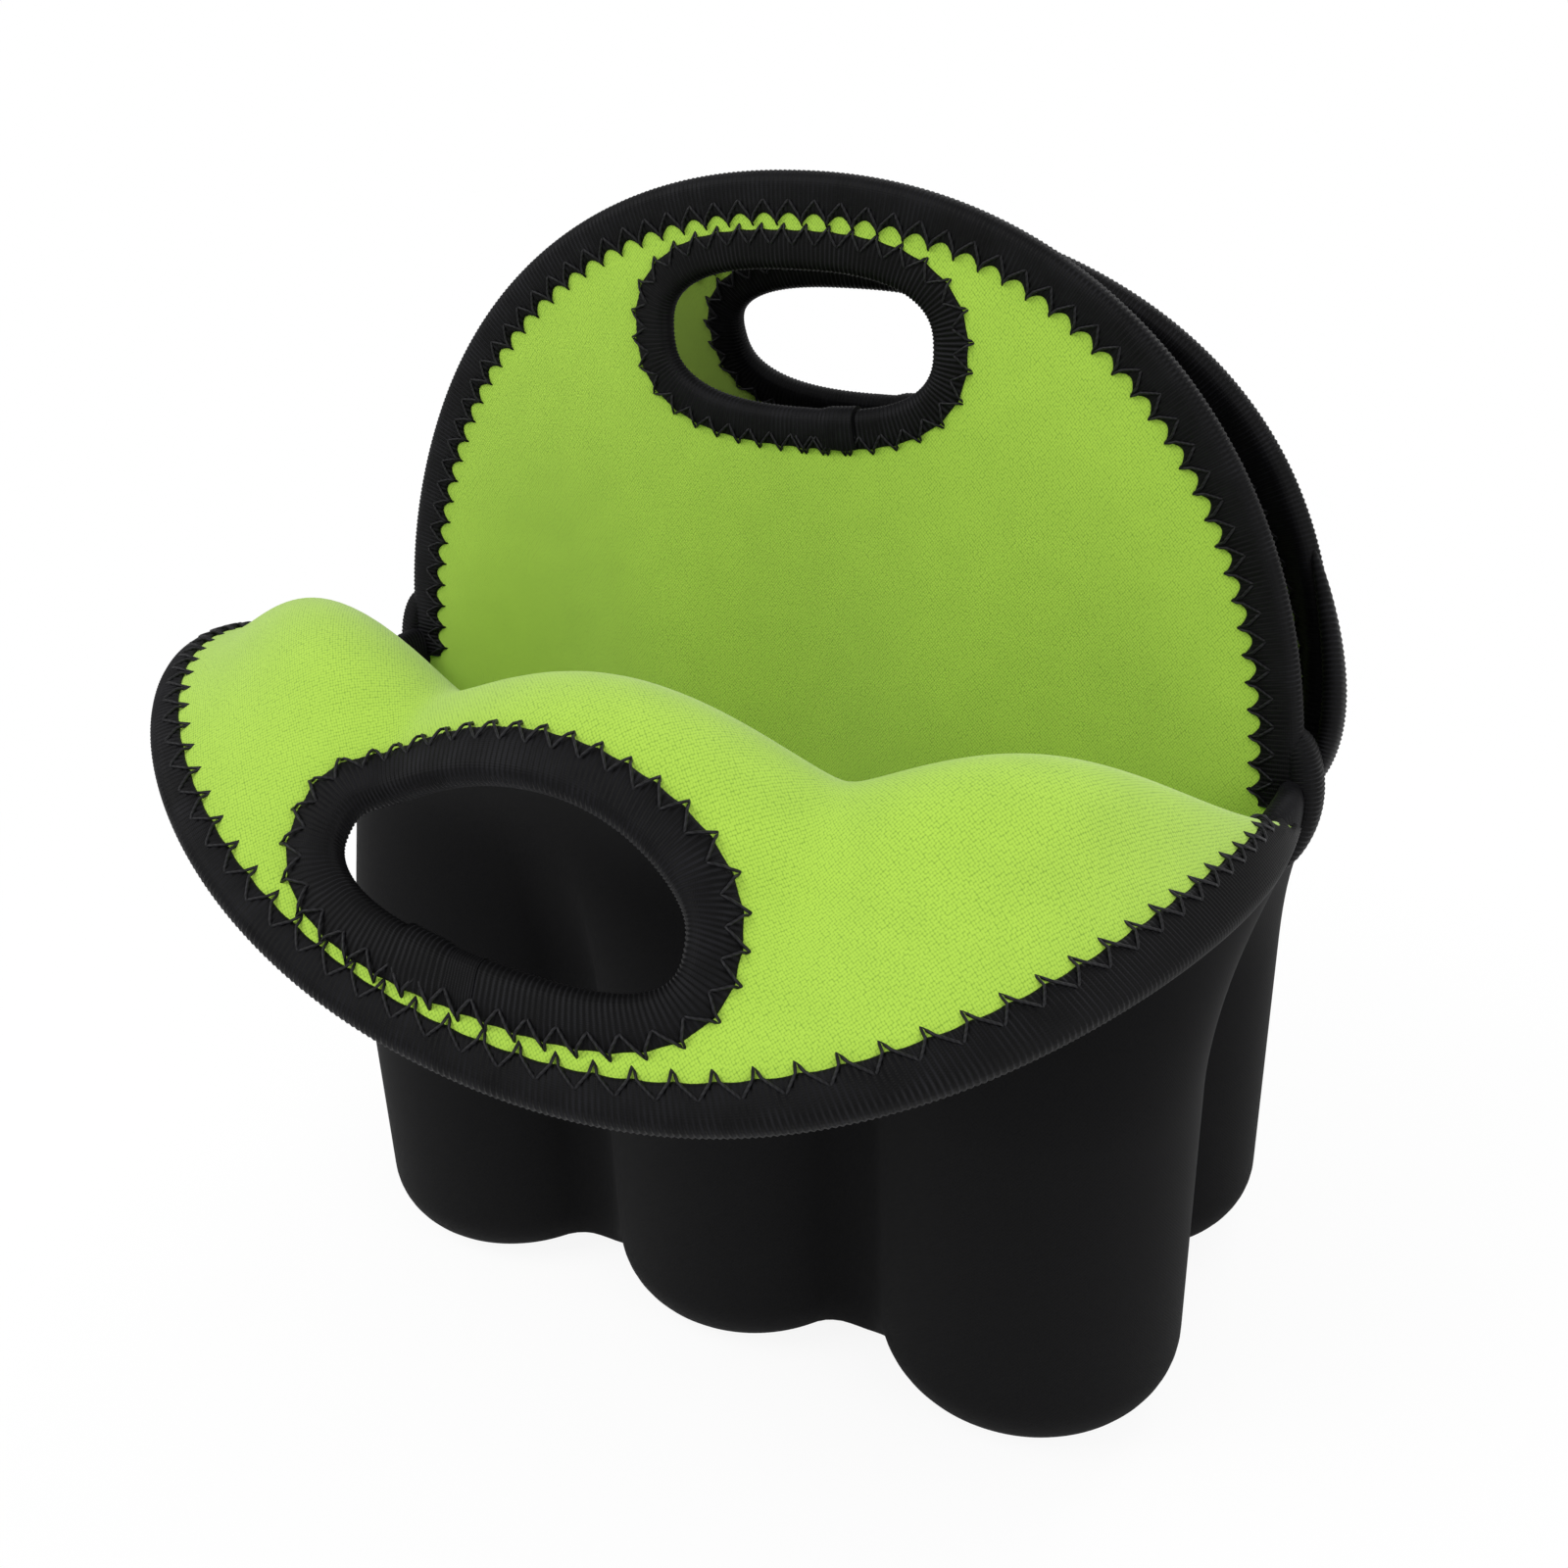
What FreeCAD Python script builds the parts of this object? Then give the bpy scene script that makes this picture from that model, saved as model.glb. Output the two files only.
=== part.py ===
"""Six-pocket bottle carrier sewn from bonded neoprene.

Three cut panels (front, centre, back) meet at two side seams. Below the rim they form two rows of three
rounded pockets; above it each panel is a dome with a carrying hole. The front dome is shown folded
forward over its crest, the centre and back domes stand. Every dome edge and every hole is bound with tape.

Millimetres, +Z up, X along the rows, -Y to the front. The origin is on the floor under the centre panel.
"""
import FreeCAD
import Part
import math
import os

DIMENSIONS = (
    ("bottle_pitch", 74.0),
    ("bore_radius", 32.0),
    ("row_offset", 35.0),
    ("shell_thickness", 3.4),
    ("lining_thickness", 0.6),
    ("layer_gap", 0.05),
    ("fit_gap", 0.3),
    ("cut_overrun", 20.0),
    ("bottom_radius", 20.0),
    ("rim_height", 138.0),
    ("channel_width", 20.0),
    ("channel_depth", 16.0),
    ("channel_groove_radius", 9.0),
    ("channel_foot", 12.0),
    ("flank_depth", 9.0),
    ("flank_top", 85.0),
    ("panel_half_width", 117.0),
    ("dome_power", 2.15),
    ("corner_rise", 1.0),
    ("standing_rise", 128.0),
    ("hole_half_width", 32.5),
    ("hole_half_height", 15.0),
    ("hole_power", 2.6),
    ("hole_below_edge", 34.0),
    ("tape_thickness", 0.6),
    ("tape_width", 9.5),
    ("tape_turn", 1.2),
    ("tape_slack", 0.6),
    ("hole_slack", 1.0),
    ("front_length", 135.0),
    ("front_base_rise", 8.0),
    ("front_plan_power", 3.0),
    ("front_start_angle", 34.0),
    ("front_end_angle", 141.0),
    ("front_start_twist", 4.5),
    ("front_end_twist", 15.5),
    ("front_start_spread", -25.0),
    ("front_end_spread", -49.0),
    ("front_side_angle", 11.5),
    ("front_side_fan", 5.5),
    ("front_wave_height", 4.5),
    ("front_wave_length", 85.0),
    ("front_wave_shift", 10.0),
    ("back_lean_angle", 22.0),
    ("back_fold_height", 40.5),
    ("back_fold_width", 19.5),
)
# Shares of a panel's own length, and of its half width, where one zone ends and the next starts.
CREST_SHARE = 0.47
CREST_SHIFT_SHARE = -0.034
BEND_SHARE = 0.40
RIM_FOLD_SHARE = 0.10
COLLAR_END_SHARE = 0.30
FLAP_START_SHARE = 0.575
FOLD_WIDTH_SHARE = 0.78
FLAP_WIDTH_SHARE = 0.85
DOME_WIDTH_SHARE = 0.975
WAVE_RISE_SHARE = 0.35
WAVE_FADE_SHARE = 0.50
STANDING_FOLD_SHARE = 0.09
CURVE_STEPS = 24
SHEET_COLUMNS = 21
SHEET_ROWS = 11
EDGE_STATIONS = 41
HOLE_STATIONS = 48
SIDES = (("left", -1), ("middle", 0), ("right", 1))
ROWS = (("front", -1, 0), ("back", 1, 180))

doc = FreeCAD.newDocument("bottle_carrier")
sheet = doc.addObject("Spreadsheet::Sheet", "Sizes")
for row, (alias, number) in enumerate(DIMENSIONS, start=1):
    sheet.set(f"A{row}", alias)
    sheet.set(f"B{row}", str(number))
    sheet.setAlias(f"B{row}", alias)
doc.recompute()
nodes = []


def size(alias):
    """Returns one driving dimension from the spreadsheet."""
    return float(sheet.get(alias))


def bind(item, **expressions):
    """Binds properties of a document object to expressions on the spreadsheet's cells."""
    for name, text in expressions.items():
        item.setExpression(name.replace("__", "."), text)
    return item


def keep(item, label):
    """Names a finished sub-part."""
    item.Label = label
    nodes.append(item)
    return item


def primitive(kind, name, **expressions):
    """Adds a Part primitive bound to the spreadsheet."""
    return bind(doc.addObject(f"Part::{kind}", name), **expressions)


def combine(kind, name, base, tool):
    """Adds a boolean of two document objects."""
    item = doc.addObject(f"Part::{kind}", name)
    item.Base = base
    item.Tool = tool
    return item


def feature(label, shape):
    """Adds a sewn soft sub-part whose shape follows the panel formulas."""
    item = doc.addObject("Part::Feature", label)
    item.Shape = shape
    return keep(item, label)


PANEL = "(Sizes.shell_thickness + Sizes.lining_thickness)"
SHELL_BORE = "(Sizes.bore_radius + Sizes.lining_thickness + Sizes.layer_gap)"
LOBE = f"({SHELL_BORE} + Sizes.shell_thickness)"
REACH = f"(Sizes.row_offset - {PANEL} / 2 - Sizes.fit_gap)"


def pocket_slug(name, radius, foot, top, reach, rounding):
    """Adds a U-shaped column with a rounded foot, standing on its pocket axis and open towards +Y."""
    column = primitive(
        "Cylinder", f"{name}_column", Radius=radius, Height=f"{top} - ({foot})", Placement__Base__z=foot
    )
    column.Angle = 180
    column.Placement.Rotation = FreeCAD.Rotation(FreeCAD.Vector(0, 0, 1), 180)
    block = primitive(
        "Box", f"{name}_block", Length=f"2 * {radius}", Width=reach, Height=f"{top} - ({foot})",
        Placement__Base__x=f"-{radius}", Placement__Base__z=foot,
    )
    joined = combine("Fuse", f"{name}_joined", column, block)
    joined.Refine = True
    doc.recompute()
    bounds = joined.Shape.BoundBox
    low, far = bounds.ZMin, bounds.YMax
    foot_edges = [
        (number, rounding, rounding)
        for number, edge in enumerate(joined.Shape.Edges, start=1)
        if abs(edge.BoundBox.ZMax - low) < size("layer_gap") and edge.BoundBox.YMin < far - size("layer_gap")
    ]
    rounded = doc.addObject("Part::Fillet", f"{name}_rounded")
    rounded.Base = joined
    rounded.Edges = foot_edges
    return rounded


class Flank:
    """The valley down an end pocket's outer side, which fades as the cloth flares to the rim corner."""

    def __init__(self):
        self.half = (size("shell_thickness") + size("lining_thickness")) / 2
        self.lobe = size("bore_radius") + self.half
        self.reach = size("row_offset") - self.half - size("fit_gap")
        self.floor = self.lobe - size("flank_depth")
        spare = size("row_offset") ** 2 + self.floor**2 - self.lobe**2
        self.bend = spare / (2 * size("flank_depth"))
        self.corner = size("panel_half_width") - size("bottle_pitch") - self.half

    def points(self, radius, flared):
        """Returns the lobe's end, a point on the valley's arc and its end, for the cloth face at a radius."""
        if flared:
            run = self.corner - self.lobe
            turn = 2 * math.atan2(run, self.reach)
            bend = self.reach / math.sin(turn)
            centre_x, centre_y = -radius - bend, 0
            angles = (0, turn / 2, turn)
        else:
            bend = self.bend + self.lobe - radius
            centre_x, centre_y = -self.floor - self.bend, size("row_offset")
            low = -math.atan2(size("row_offset"), self.floor + self.bend)
            high = -math.asin((size("row_offset") - self.reach) / bend)
            angles = (low, (low + high) / 2, high)
        return [
            FreeCAD.Vector(centre_x + bend * math.cos(angle), centre_y + bend * math.sin(angle), 0)
            for angle in angles
        ]

    def outline(self, radius, past, flared):
        """Returns the plan of an end pocket whose outer side is at -X, run past the centre panel's face."""
        lobe_end, middle, valley_end = self.points(radius, flared)
        far = self.reach + past
        flat = radius * math.sqrt(0.5)
        side, front = FreeCAD.Vector(radius, 0, 0), FreeCAD.Vector(0, -radius, 0)
        turn = (math.atan2(lobe_end.y, lobe_end.x) % (2 * math.pi) + 3 * math.pi / 2) / 2
        outer = FreeCAD.Vector(radius * math.cos(turn), radius * math.sin(turn), 0)
        corners = [FreeCAD.Vector(radius, far, 0), FreeCAD.Vector(valley_end.x, far, 0)]
        edges = [Part.makeLine(side, corners[0]), Part.makeLine(corners[0], corners[1])]
        if past:
            edges.append(Part.makeLine(corners[1], valley_end))
        edges.append(Part.Arc(valley_end, middle, lobe_end).toShape())
        edges.append(Part.Arc(lobe_end, outer, front).toShape())
        edges.append(Part.Arc(front, FreeCAD.Vector(flat, -flat, 0), side).toShape())
        return Part.Wire(edges)

    def slug(self, radius, foot, past, over, rounding):
        """Returns a column over that plan with a rounded foot, a flared top and a run past the rim."""
        waist, top = self.outline(radius, past, False), self.outline(radius, past, True)
        low = waist.copy()
        low.translate(FreeCAD.Vector(0, 0, foot))
        waist.translate(FreeCAD.Vector(0, 0, size("flank_top")))
        top.translate(FreeCAD.Vector(0, 0, size("rim_height")))
        column = Part.Face(low).extrude(FreeCAD.Vector(0, 0, size("flank_top") - foot))
        far = self.reach + past
        rounded = [
            edge for edge in column.Edges
            if edge.BoundBox.ZMax < foot + size("layer_gap") and edge.BoundBox.YMin < far - size("layer_gap")
        ]
        column = column.makeFillet(rounding, rounded).fuse(Part.makeLoft([waist, top], True, True))
        if over:
            column = column.fuse(Part.Face(top).extrude(FreeCAD.Vector(0, 0, over)))
        return column


def end_pocket(outer_radius, inner_radius, foot, floor, rounding, floor_rounding):
    """Returns one layer of an end pocket, with its outer side at -X and open towards +Y."""
    flank = Flank()
    over = size("cut_overrun")
    solid = flank.slug(outer_radius, foot, 0, 0, rounding)
    return solid.cut(flank.slug(inner_radius, floor, over, over, floor_rounding))


def make_pockets():
    """Builds the six pocket walls and their linings."""
    rim = "Sizes.rim_height"
    over = "(Sizes.rim_height + Sizes.cut_overrun)"
    past = f"({REACH} + Sizes.cut_overrun)"
    wall_floor = "Sizes.shell_thickness"
    skin_floor = "(Sizes.shell_thickness + Sizes.layer_gap)"
    bore_floor = "(Sizes.shell_thickness + Sizes.layer_gap + Sizes.lining_thickness)"
    gap, shell, skin_gauge = size("layer_gap"), size("shell_thickness"), size("lining_thickness")
    rounding = size("bottom_radius")
    roundings = (rounding, rounding - shell, rounding - shell - gap, rounding - shell - gap - skin_gauge)
    skin_radius = "(Sizes.bore_radius + Sizes.lining_thickness)"
    outer = pocket_slug("wall_outer", LOBE, "0", rim, REACH, roundings[0])
    hollow = pocket_slug("wall_hollow", SHELL_BORE, wall_floor, over, past, roundings[1])
    skin = pocket_slug("skin_outer", skin_radius, skin_floor, rim, REACH, roundings[2])
    bore = pocket_slug("skin_hollow", "Sizes.bore_radius", bore_floor, over, past, roundings[3])
    bore_out = size("bore_radius")
    skin_out = bore_out + skin_gauge
    skin_foot = shell + gap
    ends = {
        "wall": end_pocket(skin_out + gap + shell, skin_out + gap, 0, shell, *roundings[:2]),
        "lining": end_pocket(skin_out, bore_out, skin_foot, skin_foot + skin_gauge, *roundings[2:]),
    }
    for row, towards, turn in ROWS:
        for part, solid, space in (("wall", outer, hollow), ("lining", skin, bore)):
            for side, column in SIDES:
                label = f"{row}_{side}_pocket_{part}"
                if column:
                    shape = ends[part].copy()
                    if column * towards < 0:
                        shape = shape.mirror(FreeCAD.Vector(0, 0, 0), FreeCAD.Vector(1, 0, 0))
                    shape.rotate(FreeCAD.Vector(0, 0, 0), FreeCAD.Vector(0, 0, 1), turn)
                    place = FreeCAD.Vector(column * size("bottle_pitch"), towards * size("row_offset"), 0)
                    shape.translate(place)
                    feature(label, shape)
                else:
                    item = combine("Cut", f"{row}_{side}_{part}", solid, space)
                    bind(item, Placement__Base__y=f"{towards} * Sizes.row_offset")
                    item.Placement.Rotation = FreeCAD.Rotation(FreeCAD.Vector(0, 0, 1), turn)
                    keep(item, label)


def make_channels():
    """Builds the four sewn valleys between neighbouring pockets."""
    clear = f"({LOBE} + Sizes.fit_gap)"
    tall = "(Sizes.rim_height + Sizes.cut_overrun)"
    front = f"(Sizes.row_offset + {LOBE} - Sizes.channel_depth)"
    for row, towards, _ in ROWS:
        for side, column in (SIDES[0], SIDES[2]):
            name = f"{row}_{side}_channel"
            low_y = f"-{front}" if towards < 0 else "Sizes.row_offset"
            block = primitive(
                "Box", f"{name}_block", Length="Sizes.channel_width", Width=f"{front} - Sizes.row_offset",
                Height="Sizes.rim_height - Sizes.channel_foot",
                Placement__Base__x=f"{column} * Sizes.bottle_pitch / 2 - Sizes.channel_width / 2",
                Placement__Base__y=low_y, Placement__Base__z="Sizes.channel_foot",
            )
            body = block
            for number, place in enumerate(("0", f"{column} * Sizes.bottle_pitch")):
                lobe = primitive(
                    "Cylinder", f"{name}_lobe_{number}", Radius=clear, Height=tall,
                    Placement__Base__x=place, Placement__Base__y=f"{towards} * Sizes.row_offset",
                )
                body = combine("Cut", f"{name}_cut_{number}", body, lobe)
            groove = primitive(
                "Cylinder", f"{name}_groove", Radius="Sizes.channel_groove_radius", Height=tall,
                Placement__Base__x=f"{column} * Sizes.bottle_pitch / 2",
                Placement__Base__y=f"{towards} * ({front} + Sizes.channel_groove_radius / 2)",
            )
            keep(combine("Cut", f"{name}_seam", body, groove), f"{name}_seam")


def upright(outline, near, far):
    """Returns a slab across Y between two faces, from an outline of x and z."""
    points = [FreeCAD.Vector(x, near, z) for x, z in outline]
    return Part.Face(Part.makePolygon(points + points[:1])).extrude(FreeCAD.Vector(0, far - near, 0))


def make_divider():
    """Builds the centre panel's lower half between the rows, its lining and the two side seams."""
    flank = Flank()
    gap, rim, waist = size("fit_gap"), size("rim_height"), size("flank_top")
    inside = size("bottle_pitch") - flank.half - gap
    low, high = inside + flank.floor, inside + flank.corner
    outline = [(-low, 0), (low, 0), (low, waist), (high, rim), (-high, rim), (-low, waist)]
    face = size("lining_thickness") - flank.half
    feature("divider_panel", upright(outline, face + size("layer_gap"), flank.half))
    feature("divider_lining", upright(outline, -flank.half, face))
    thick = 2 * flank.half
    foot = size("bottom_radius")
    for side, column in (SIDES[0], SIDES[2]):
        inner = [(low + gap, foot), (low + gap, waist), (high + gap, rim)]
        strip = inner + [(x + thick, z) for x, z in reversed(inner)]
        mirrored = [(column * x, z) for x, z in strip]
        feature(f"{side}_side_seam", upright(mirrored, -flank.half, flank.half))


def smooth_step(share):
    """Returns the cubic ease of a share, held at 0 and 1 outside its span."""
    held = min(1.0, max(0.0, share))
    return held * held * (3 - 2 * held)


class Panel:
    """One dome above the rim, as points over its flat cut shape: u across, v up from the rim."""

    def __init__(self, rise):
        self.half_width = size("panel_half_width")
        self.rise = rise
        self.corner = size("rim_height") + size("corner_rise")
        self.thickness = size("shell_thickness") + size("lining_thickness")

    def length(self, u):
        """Returns the cut height of the dome at u."""
        power = size("dome_power")
        share = min(1.0, abs(u) / self.half_width)
        return self.rise * (1 - share**power) ** (1 / power)

    def point(self, u, v):
        """Returns the middle of the sheet at u, v: here a flat standing dome."""
        return FreeCAD.Vector(u, 0, self.corner + v)

    def normal(self, u, v):
        """Returns the unit normal on the black side."""
        step = size("layer_gap")
        across = self.point(u + step, v) - self.point(u - step, v)
        along = self.point(u, v + step) - self.point(u, v - step)
        return along.cross(across).normalize()

    def layer(self, u, v, height):
        """Returns the point at a height over the middle of the sheet, black side positive."""
        return self.point(u, v) + self.normal(u, v) * height

    def edge(self, share):
        """Returns u, v and the inward direction at a share of the dome edge, -1 left to 1 right."""
        power = size("dome_power")
        turn = math.pi / 2 * (1 - share)
        cosine, sine = math.cos(turn), max(0.0, math.sin(turn))
        u = self.half_width * math.copysign(abs(cosine) ** (2 / power), cosine)
        v = self.rise * sine ** (2 / power)
        slope_u = math.copysign((abs(u) / self.half_width) ** (power - 1) / self.half_width, u)
        slope_v = (v / self.rise) ** (power - 1) / self.rise
        scale = math.hypot(slope_u, slope_v)
        return u, v, -slope_u / scale, -slope_v / scale

    def hole(self, turn, grown):
        """Returns u, v and the direction into the cloth at an angle round the carrying hole."""
        power = size("hole_power")
        wide = size("hole_half_width") + grown
        tall = size("hole_half_height") + grown
        cosine, sine = math.cos(turn), math.sin(turn)
        u = wide * math.copysign(abs(cosine) ** (2 / power), cosine)
        v = tall * math.copysign(abs(sine) ** (2 / power), sine)
        slope_u = math.copysign((abs(u) / wide) ** (power - 1) / wide, u)
        slope_v = math.copysign((abs(v) / tall) ** (power - 1) / tall, v)
        scale = math.hypot(slope_u, slope_v)
        return u, self.rise - size("hole_below_edge") + v, slope_u / scale, slope_v / scale


class FoldedPanel(Panel):
    """The front dome: it leans out over the pockets, turns over a crest and hangs."""

    def point(self, u, v):
        share = max(-1.0, min(1.0, u / self.half_width))
        length = self.length(u)
        plan = size("front_plan_power")
        rim = size("row_offset") + size("bore_radius") + self.thickness / 2
        start = size("front_start_angle") + size("front_start_twist") * share
        start += size("front_start_spread") * share**2
        end = size("front_end_angle") + size("front_end_twist") * share + size("front_end_spread") * share**2
        middle = CREST_SHARE + CREST_SHIFT_SHARE * share
        forward = 0.0
        upward = min(0.0, v)
        run = max(0.0, v)
        for number in range(CURVE_STEPS):
            reach = run * (number + 0.5) / CURVE_STEPS
            ease = smooth_step((reach / length - middle) / BEND_SHARE + 0.5)
            angle = math.radians(start + (end - start) * ease)
            forward += math.sin(angle) * run / CURVE_STEPS
            upward += math.cos(angle) * run / CURVE_STEPS
        side = math.radians(size("front_side_angle") + size("front_side_fan") * share)
        wave = math.cos(2 * math.pi * (u - size("front_wave_shift")) / size("front_wave_length"))
        wave *= smooth_step((1 - run / length) / WAVE_FADE_SHARE) * smooth_step(run / length / WAVE_RISE_SHARE)
        wave *= size("front_wave_height") * (1 - share**6)
        base = self.corner + size("front_base_rise") * (1 - abs(share) ** 3)
        return FreeCAD.Vector(
            u + forward * math.sin(side),
            -rim * (1 - abs(share) ** plan) ** (1 / plan) - forward * math.cos(side),
            base + upward + wave,
        )

    def normal(self, u, v):
        return Panel.normal(self, u, v) * -1


class LeaningPanel(Panel):
    """The back dome: it stands on the back pockets and leans in towards the centre panel."""

    def reach(self, u):
        """Returns how far out the rim lies at u, as a share of its middle."""
        share = min(1.0, abs(u) / self.half_width)
        plan = size("front_plan_power")
        return (1 - share**plan) ** (1 / plan)

    def lean(self, u):
        """Returns the lean of the cloth at u."""
        return math.radians(size("back_lean_angle") * self.reach(u))

    def foot(self, u):
        """Returns v at which the leaning cloth clears the pocket rims."""
        tilt = math.sin(self.lean(u)) * self.thickness / 2
        clear = size("rim_height") + size("fit_gap") + tilt - self.corner
        return clear / math.cos(self.lean(u))

    def point(self, u, v):
        rim = size("row_offset") + size("bore_radius") + self.thickness / 2
        lean = self.lean(u)
        return FreeCAD.Vector(u, rim * self.reach(u) - v * math.sin(lean), self.corner + v * math.cos(lean))


def closed_solid(faces):
    """Sews faces into one solid with its faces turned outwards."""
    shell = Part.makeShell(faces)
    shell.sewShape()
    solid = Part.makeSolid(shell)
    if solid.Volume < 0:
        solid.reverse()
    return solid


def sheet_solid(panel, left, right, v_low, v_high, low, high):
    """Returns a layer of a panel between two u, two curves of v and two heights over its middle."""
    skins = []
    for height in (low, high):
        grid = []
        for column in range(SHEET_COLUMNS):
            u = left + (right - left) * column / (SHEET_COLUMNS - 1)
            bottom, top = v_low(u), v_high(u)
            heights = [bottom + (top - bottom) * step / (SHEET_ROWS - 1) for step in range(SHEET_ROWS)]
            grid.append([panel.layer(u, v, height) for v in heights])
        surface = Part.BSplineSurface()
        surface.interpolate(grid)
        skins.append(surface)
    faces = [surface.toShape() for surface in skins]
    under, over = skins
    for share in (0, 1):
        u_cut = [surface.uIso(surface.bounds()[share]).toShape() for surface in (under, over)]
        v_cut = [surface.vIso(surface.bounds()[2 + share]).toShape() for surface in (under, over)]
        faces.append(Part.makeRuledSurface(u_cut[0], u_cut[1]))
        faces.append(Part.makeRuledSurface(v_cut[0], v_cut[1]))
    return closed_solid(faces)


def tape_profile(panel):
    """Returns the corners of the folded tape's section: distance into the cloth, height over its middle."""
    inside = panel.thickness / 2 + size("tape_slack")
    outside = inside + size("tape_thickness")
    wide = size("tape_width")
    turn = size("tape_turn")
    slot = turn - size("tape_thickness")
    return (
        (-turn, -outside), (wide - turn, -outside), (wide - turn, -inside), (-slot, -inside),
        (-slot, inside), (wide - turn, inside), (wide - turn, outside), (-turn, outside),
    )


def tape_solid(panel, stations, closed):
    """Returns a folded tape along stations of u, v and the direction into the cloth."""
    profile = tape_profile(panel)
    rails = []
    for depth, height in profile:
        points = [panel.layer(u + depth * du, v + depth * dv, height) for u, v, du, dv in stations]
        curve = Part.BSplineCurve()
        curve.interpolate(Points=points, PeriodicFlag=closed)
        rails.append((points, curve.toShape()))
    faces = []
    for number in range(len(rails)):
        faces.append(Part.makeRuledSurface(rails[number - 1][1], rails[number][1]))
    if not closed:
        for end in (0, -1):
            for a, b, c, d in ((0, 1, 3, 2), (0, 7, 3, 4), (7, 6, 4, 5)):
                near = Part.makeLine(rails[a][0][end], rails[b][0][end])
                far = Part.makeLine(rails[c][0][end], rails[d][0][end])
                faces.append(Part.makeRuledSurface(near, far))
    return closed_solid(faces)


def edge_stations(panel, start, end):
    """Returns tape stations along the dome edge between two shares of it."""
    steps = EDGE_STATIONS - 1
    return [panel.edge(start + (end - start) * step / steps) for step in range(EDGE_STATIONS)]


def edge_share(panel, width_share):
    """Returns the share of the dome edge at which it is that share of the half width out."""
    return 1 - math.acos(width_share ** (size("dome_power") / 2)) / (math.pi / 2)


def hole_stations(panel):
    """Returns tape stations round the carrying hole."""
    grown = size("tape_turn")
    return [panel.hole(2 * math.pi * step / HOLE_STATIONS, grown) for step in range(HOLE_STATIONS)]


def hole_cutter(panel):
    """Returns a column through the cloth where the carrying hole is cut."""
    grown = size("tape_turn") + size("hole_slack")
    centre_v = panel.rise - size("hole_below_edge")
    middle = panel.point(0, centre_v)
    axis = panel.normal(0, centre_v)
    points = []
    for step in range(HOLE_STATIONS):
        u, v, _, _ = panel.hole(2 * math.pi * step / HOLE_STATIONS, grown)
        place = panel.point(u, v)
        points.append(place - axis * (place - middle).dot(axis) - axis * size("cut_overrun"))
    curve = Part.BSplineCurve()
    curve.interpolate(Points=points, PeriodicFlag=True)
    face = Part.Face(Part.Wire([curve.toShape()]))
    return face.extrude(axis * size("cut_overrun") * 2)


def make_layers(label, panel, width_share, v_low, v_high, cutter=None):
    """Builds the black shell and the green lining of one zone of a panel."""
    reach = panel.half_width * width_share
    half = panel.thickness / 2
    split = size("lining_thickness") - half
    for part, low, high in (("panel", split + size("layer_gap"), half), ("lining", -half, split)):
        solid = sheet_solid(panel, -reach, reach, v_low, v_high, low, high)
        feature(f"{label}_{part}", solid.cut(cutter) if cutter else solid)


def make_dome(prefix, label, panel, v_low, width_share):
    """Builds a dome's stiff part: shell, lining, edge tape and hole tape."""
    make_layers(label, panel, width_share, v_low, panel.length, hole_cutter(panel))
    share = edge_share(panel, width_share)
    feature(f"{prefix}_edge_binding", tape_solid(panel, edge_stations(panel, -share, share), False))
    feature(f"{prefix}_handle_binding", tape_solid(panel, hole_stations(panel), True))


def make_zone(label, panel, width_share, v_low, v_high):
    """Builds a soft zone of a panel through its whole thickness."""
    reach = panel.half_width * width_share
    half = panel.thickness / 2
    feature(label, sheet_solid(panel, -reach, reach, v_low, v_high, -half, half))


def make_tape_ends(prefix, panel, towards):
    """Builds the two soft tape ends that run from a folding dome's edge down to the side seams."""
    outside = panel.thickness / 2 + size("tape_slack") + size("tape_thickness")
    turn = size("tape_turn")
    half_tape = size("tape_width") / 2 - turn
    inward = abs(panel.edge(edge_share(panel, FLAP_WIDTH_SHARE))[2])
    clear_share = (half_tape * inward + size("fit_gap")) / panel.half_width
    start = edge_share(panel, FLAP_WIDTH_SHARE + clear_share)
    straps = []
    for side in (-1, 1):
        u, v, du, dv = panel.edge(side * start)
        corners = ((-turn, -outside), (half_tape, -outside), (half_tape, outside), (-turn, outside))
        near = [panel.layer(u + depth * du, v + depth * dv, height) for depth, height in corners]
        far = []
        for depth, height in corners:
            across = side * (panel.half_width - depth)
            away = towards * (outside + size("tape_turn") + outside + height)
            far.append(FreeCAD.Vector(across, away, panel.corner + size("fit_gap")))
        faces = []
        for number in range(len(corners)):
            first = Part.makeLine(near[number - 1], far[number - 1])
            faces.append(Part.makeRuledSurface(first, Part.makeLine(near[number], far[number])))
        for end in (near, far):
            faces.append(Part.makeRuledSurface(Part.makeLine(end[0], end[1]), Part.makeLine(end[3], end[2])))
        straps.append(closed_solid(faces))
    feature(f"{prefix}_binding_ends", Part.Compound(straps))


def share_line(panel, share, away=0):
    """Returns the curve of v at a share of the panel's own length, moved along it by a distance."""
    return lambda u: panel.length(u) * share + away


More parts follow.
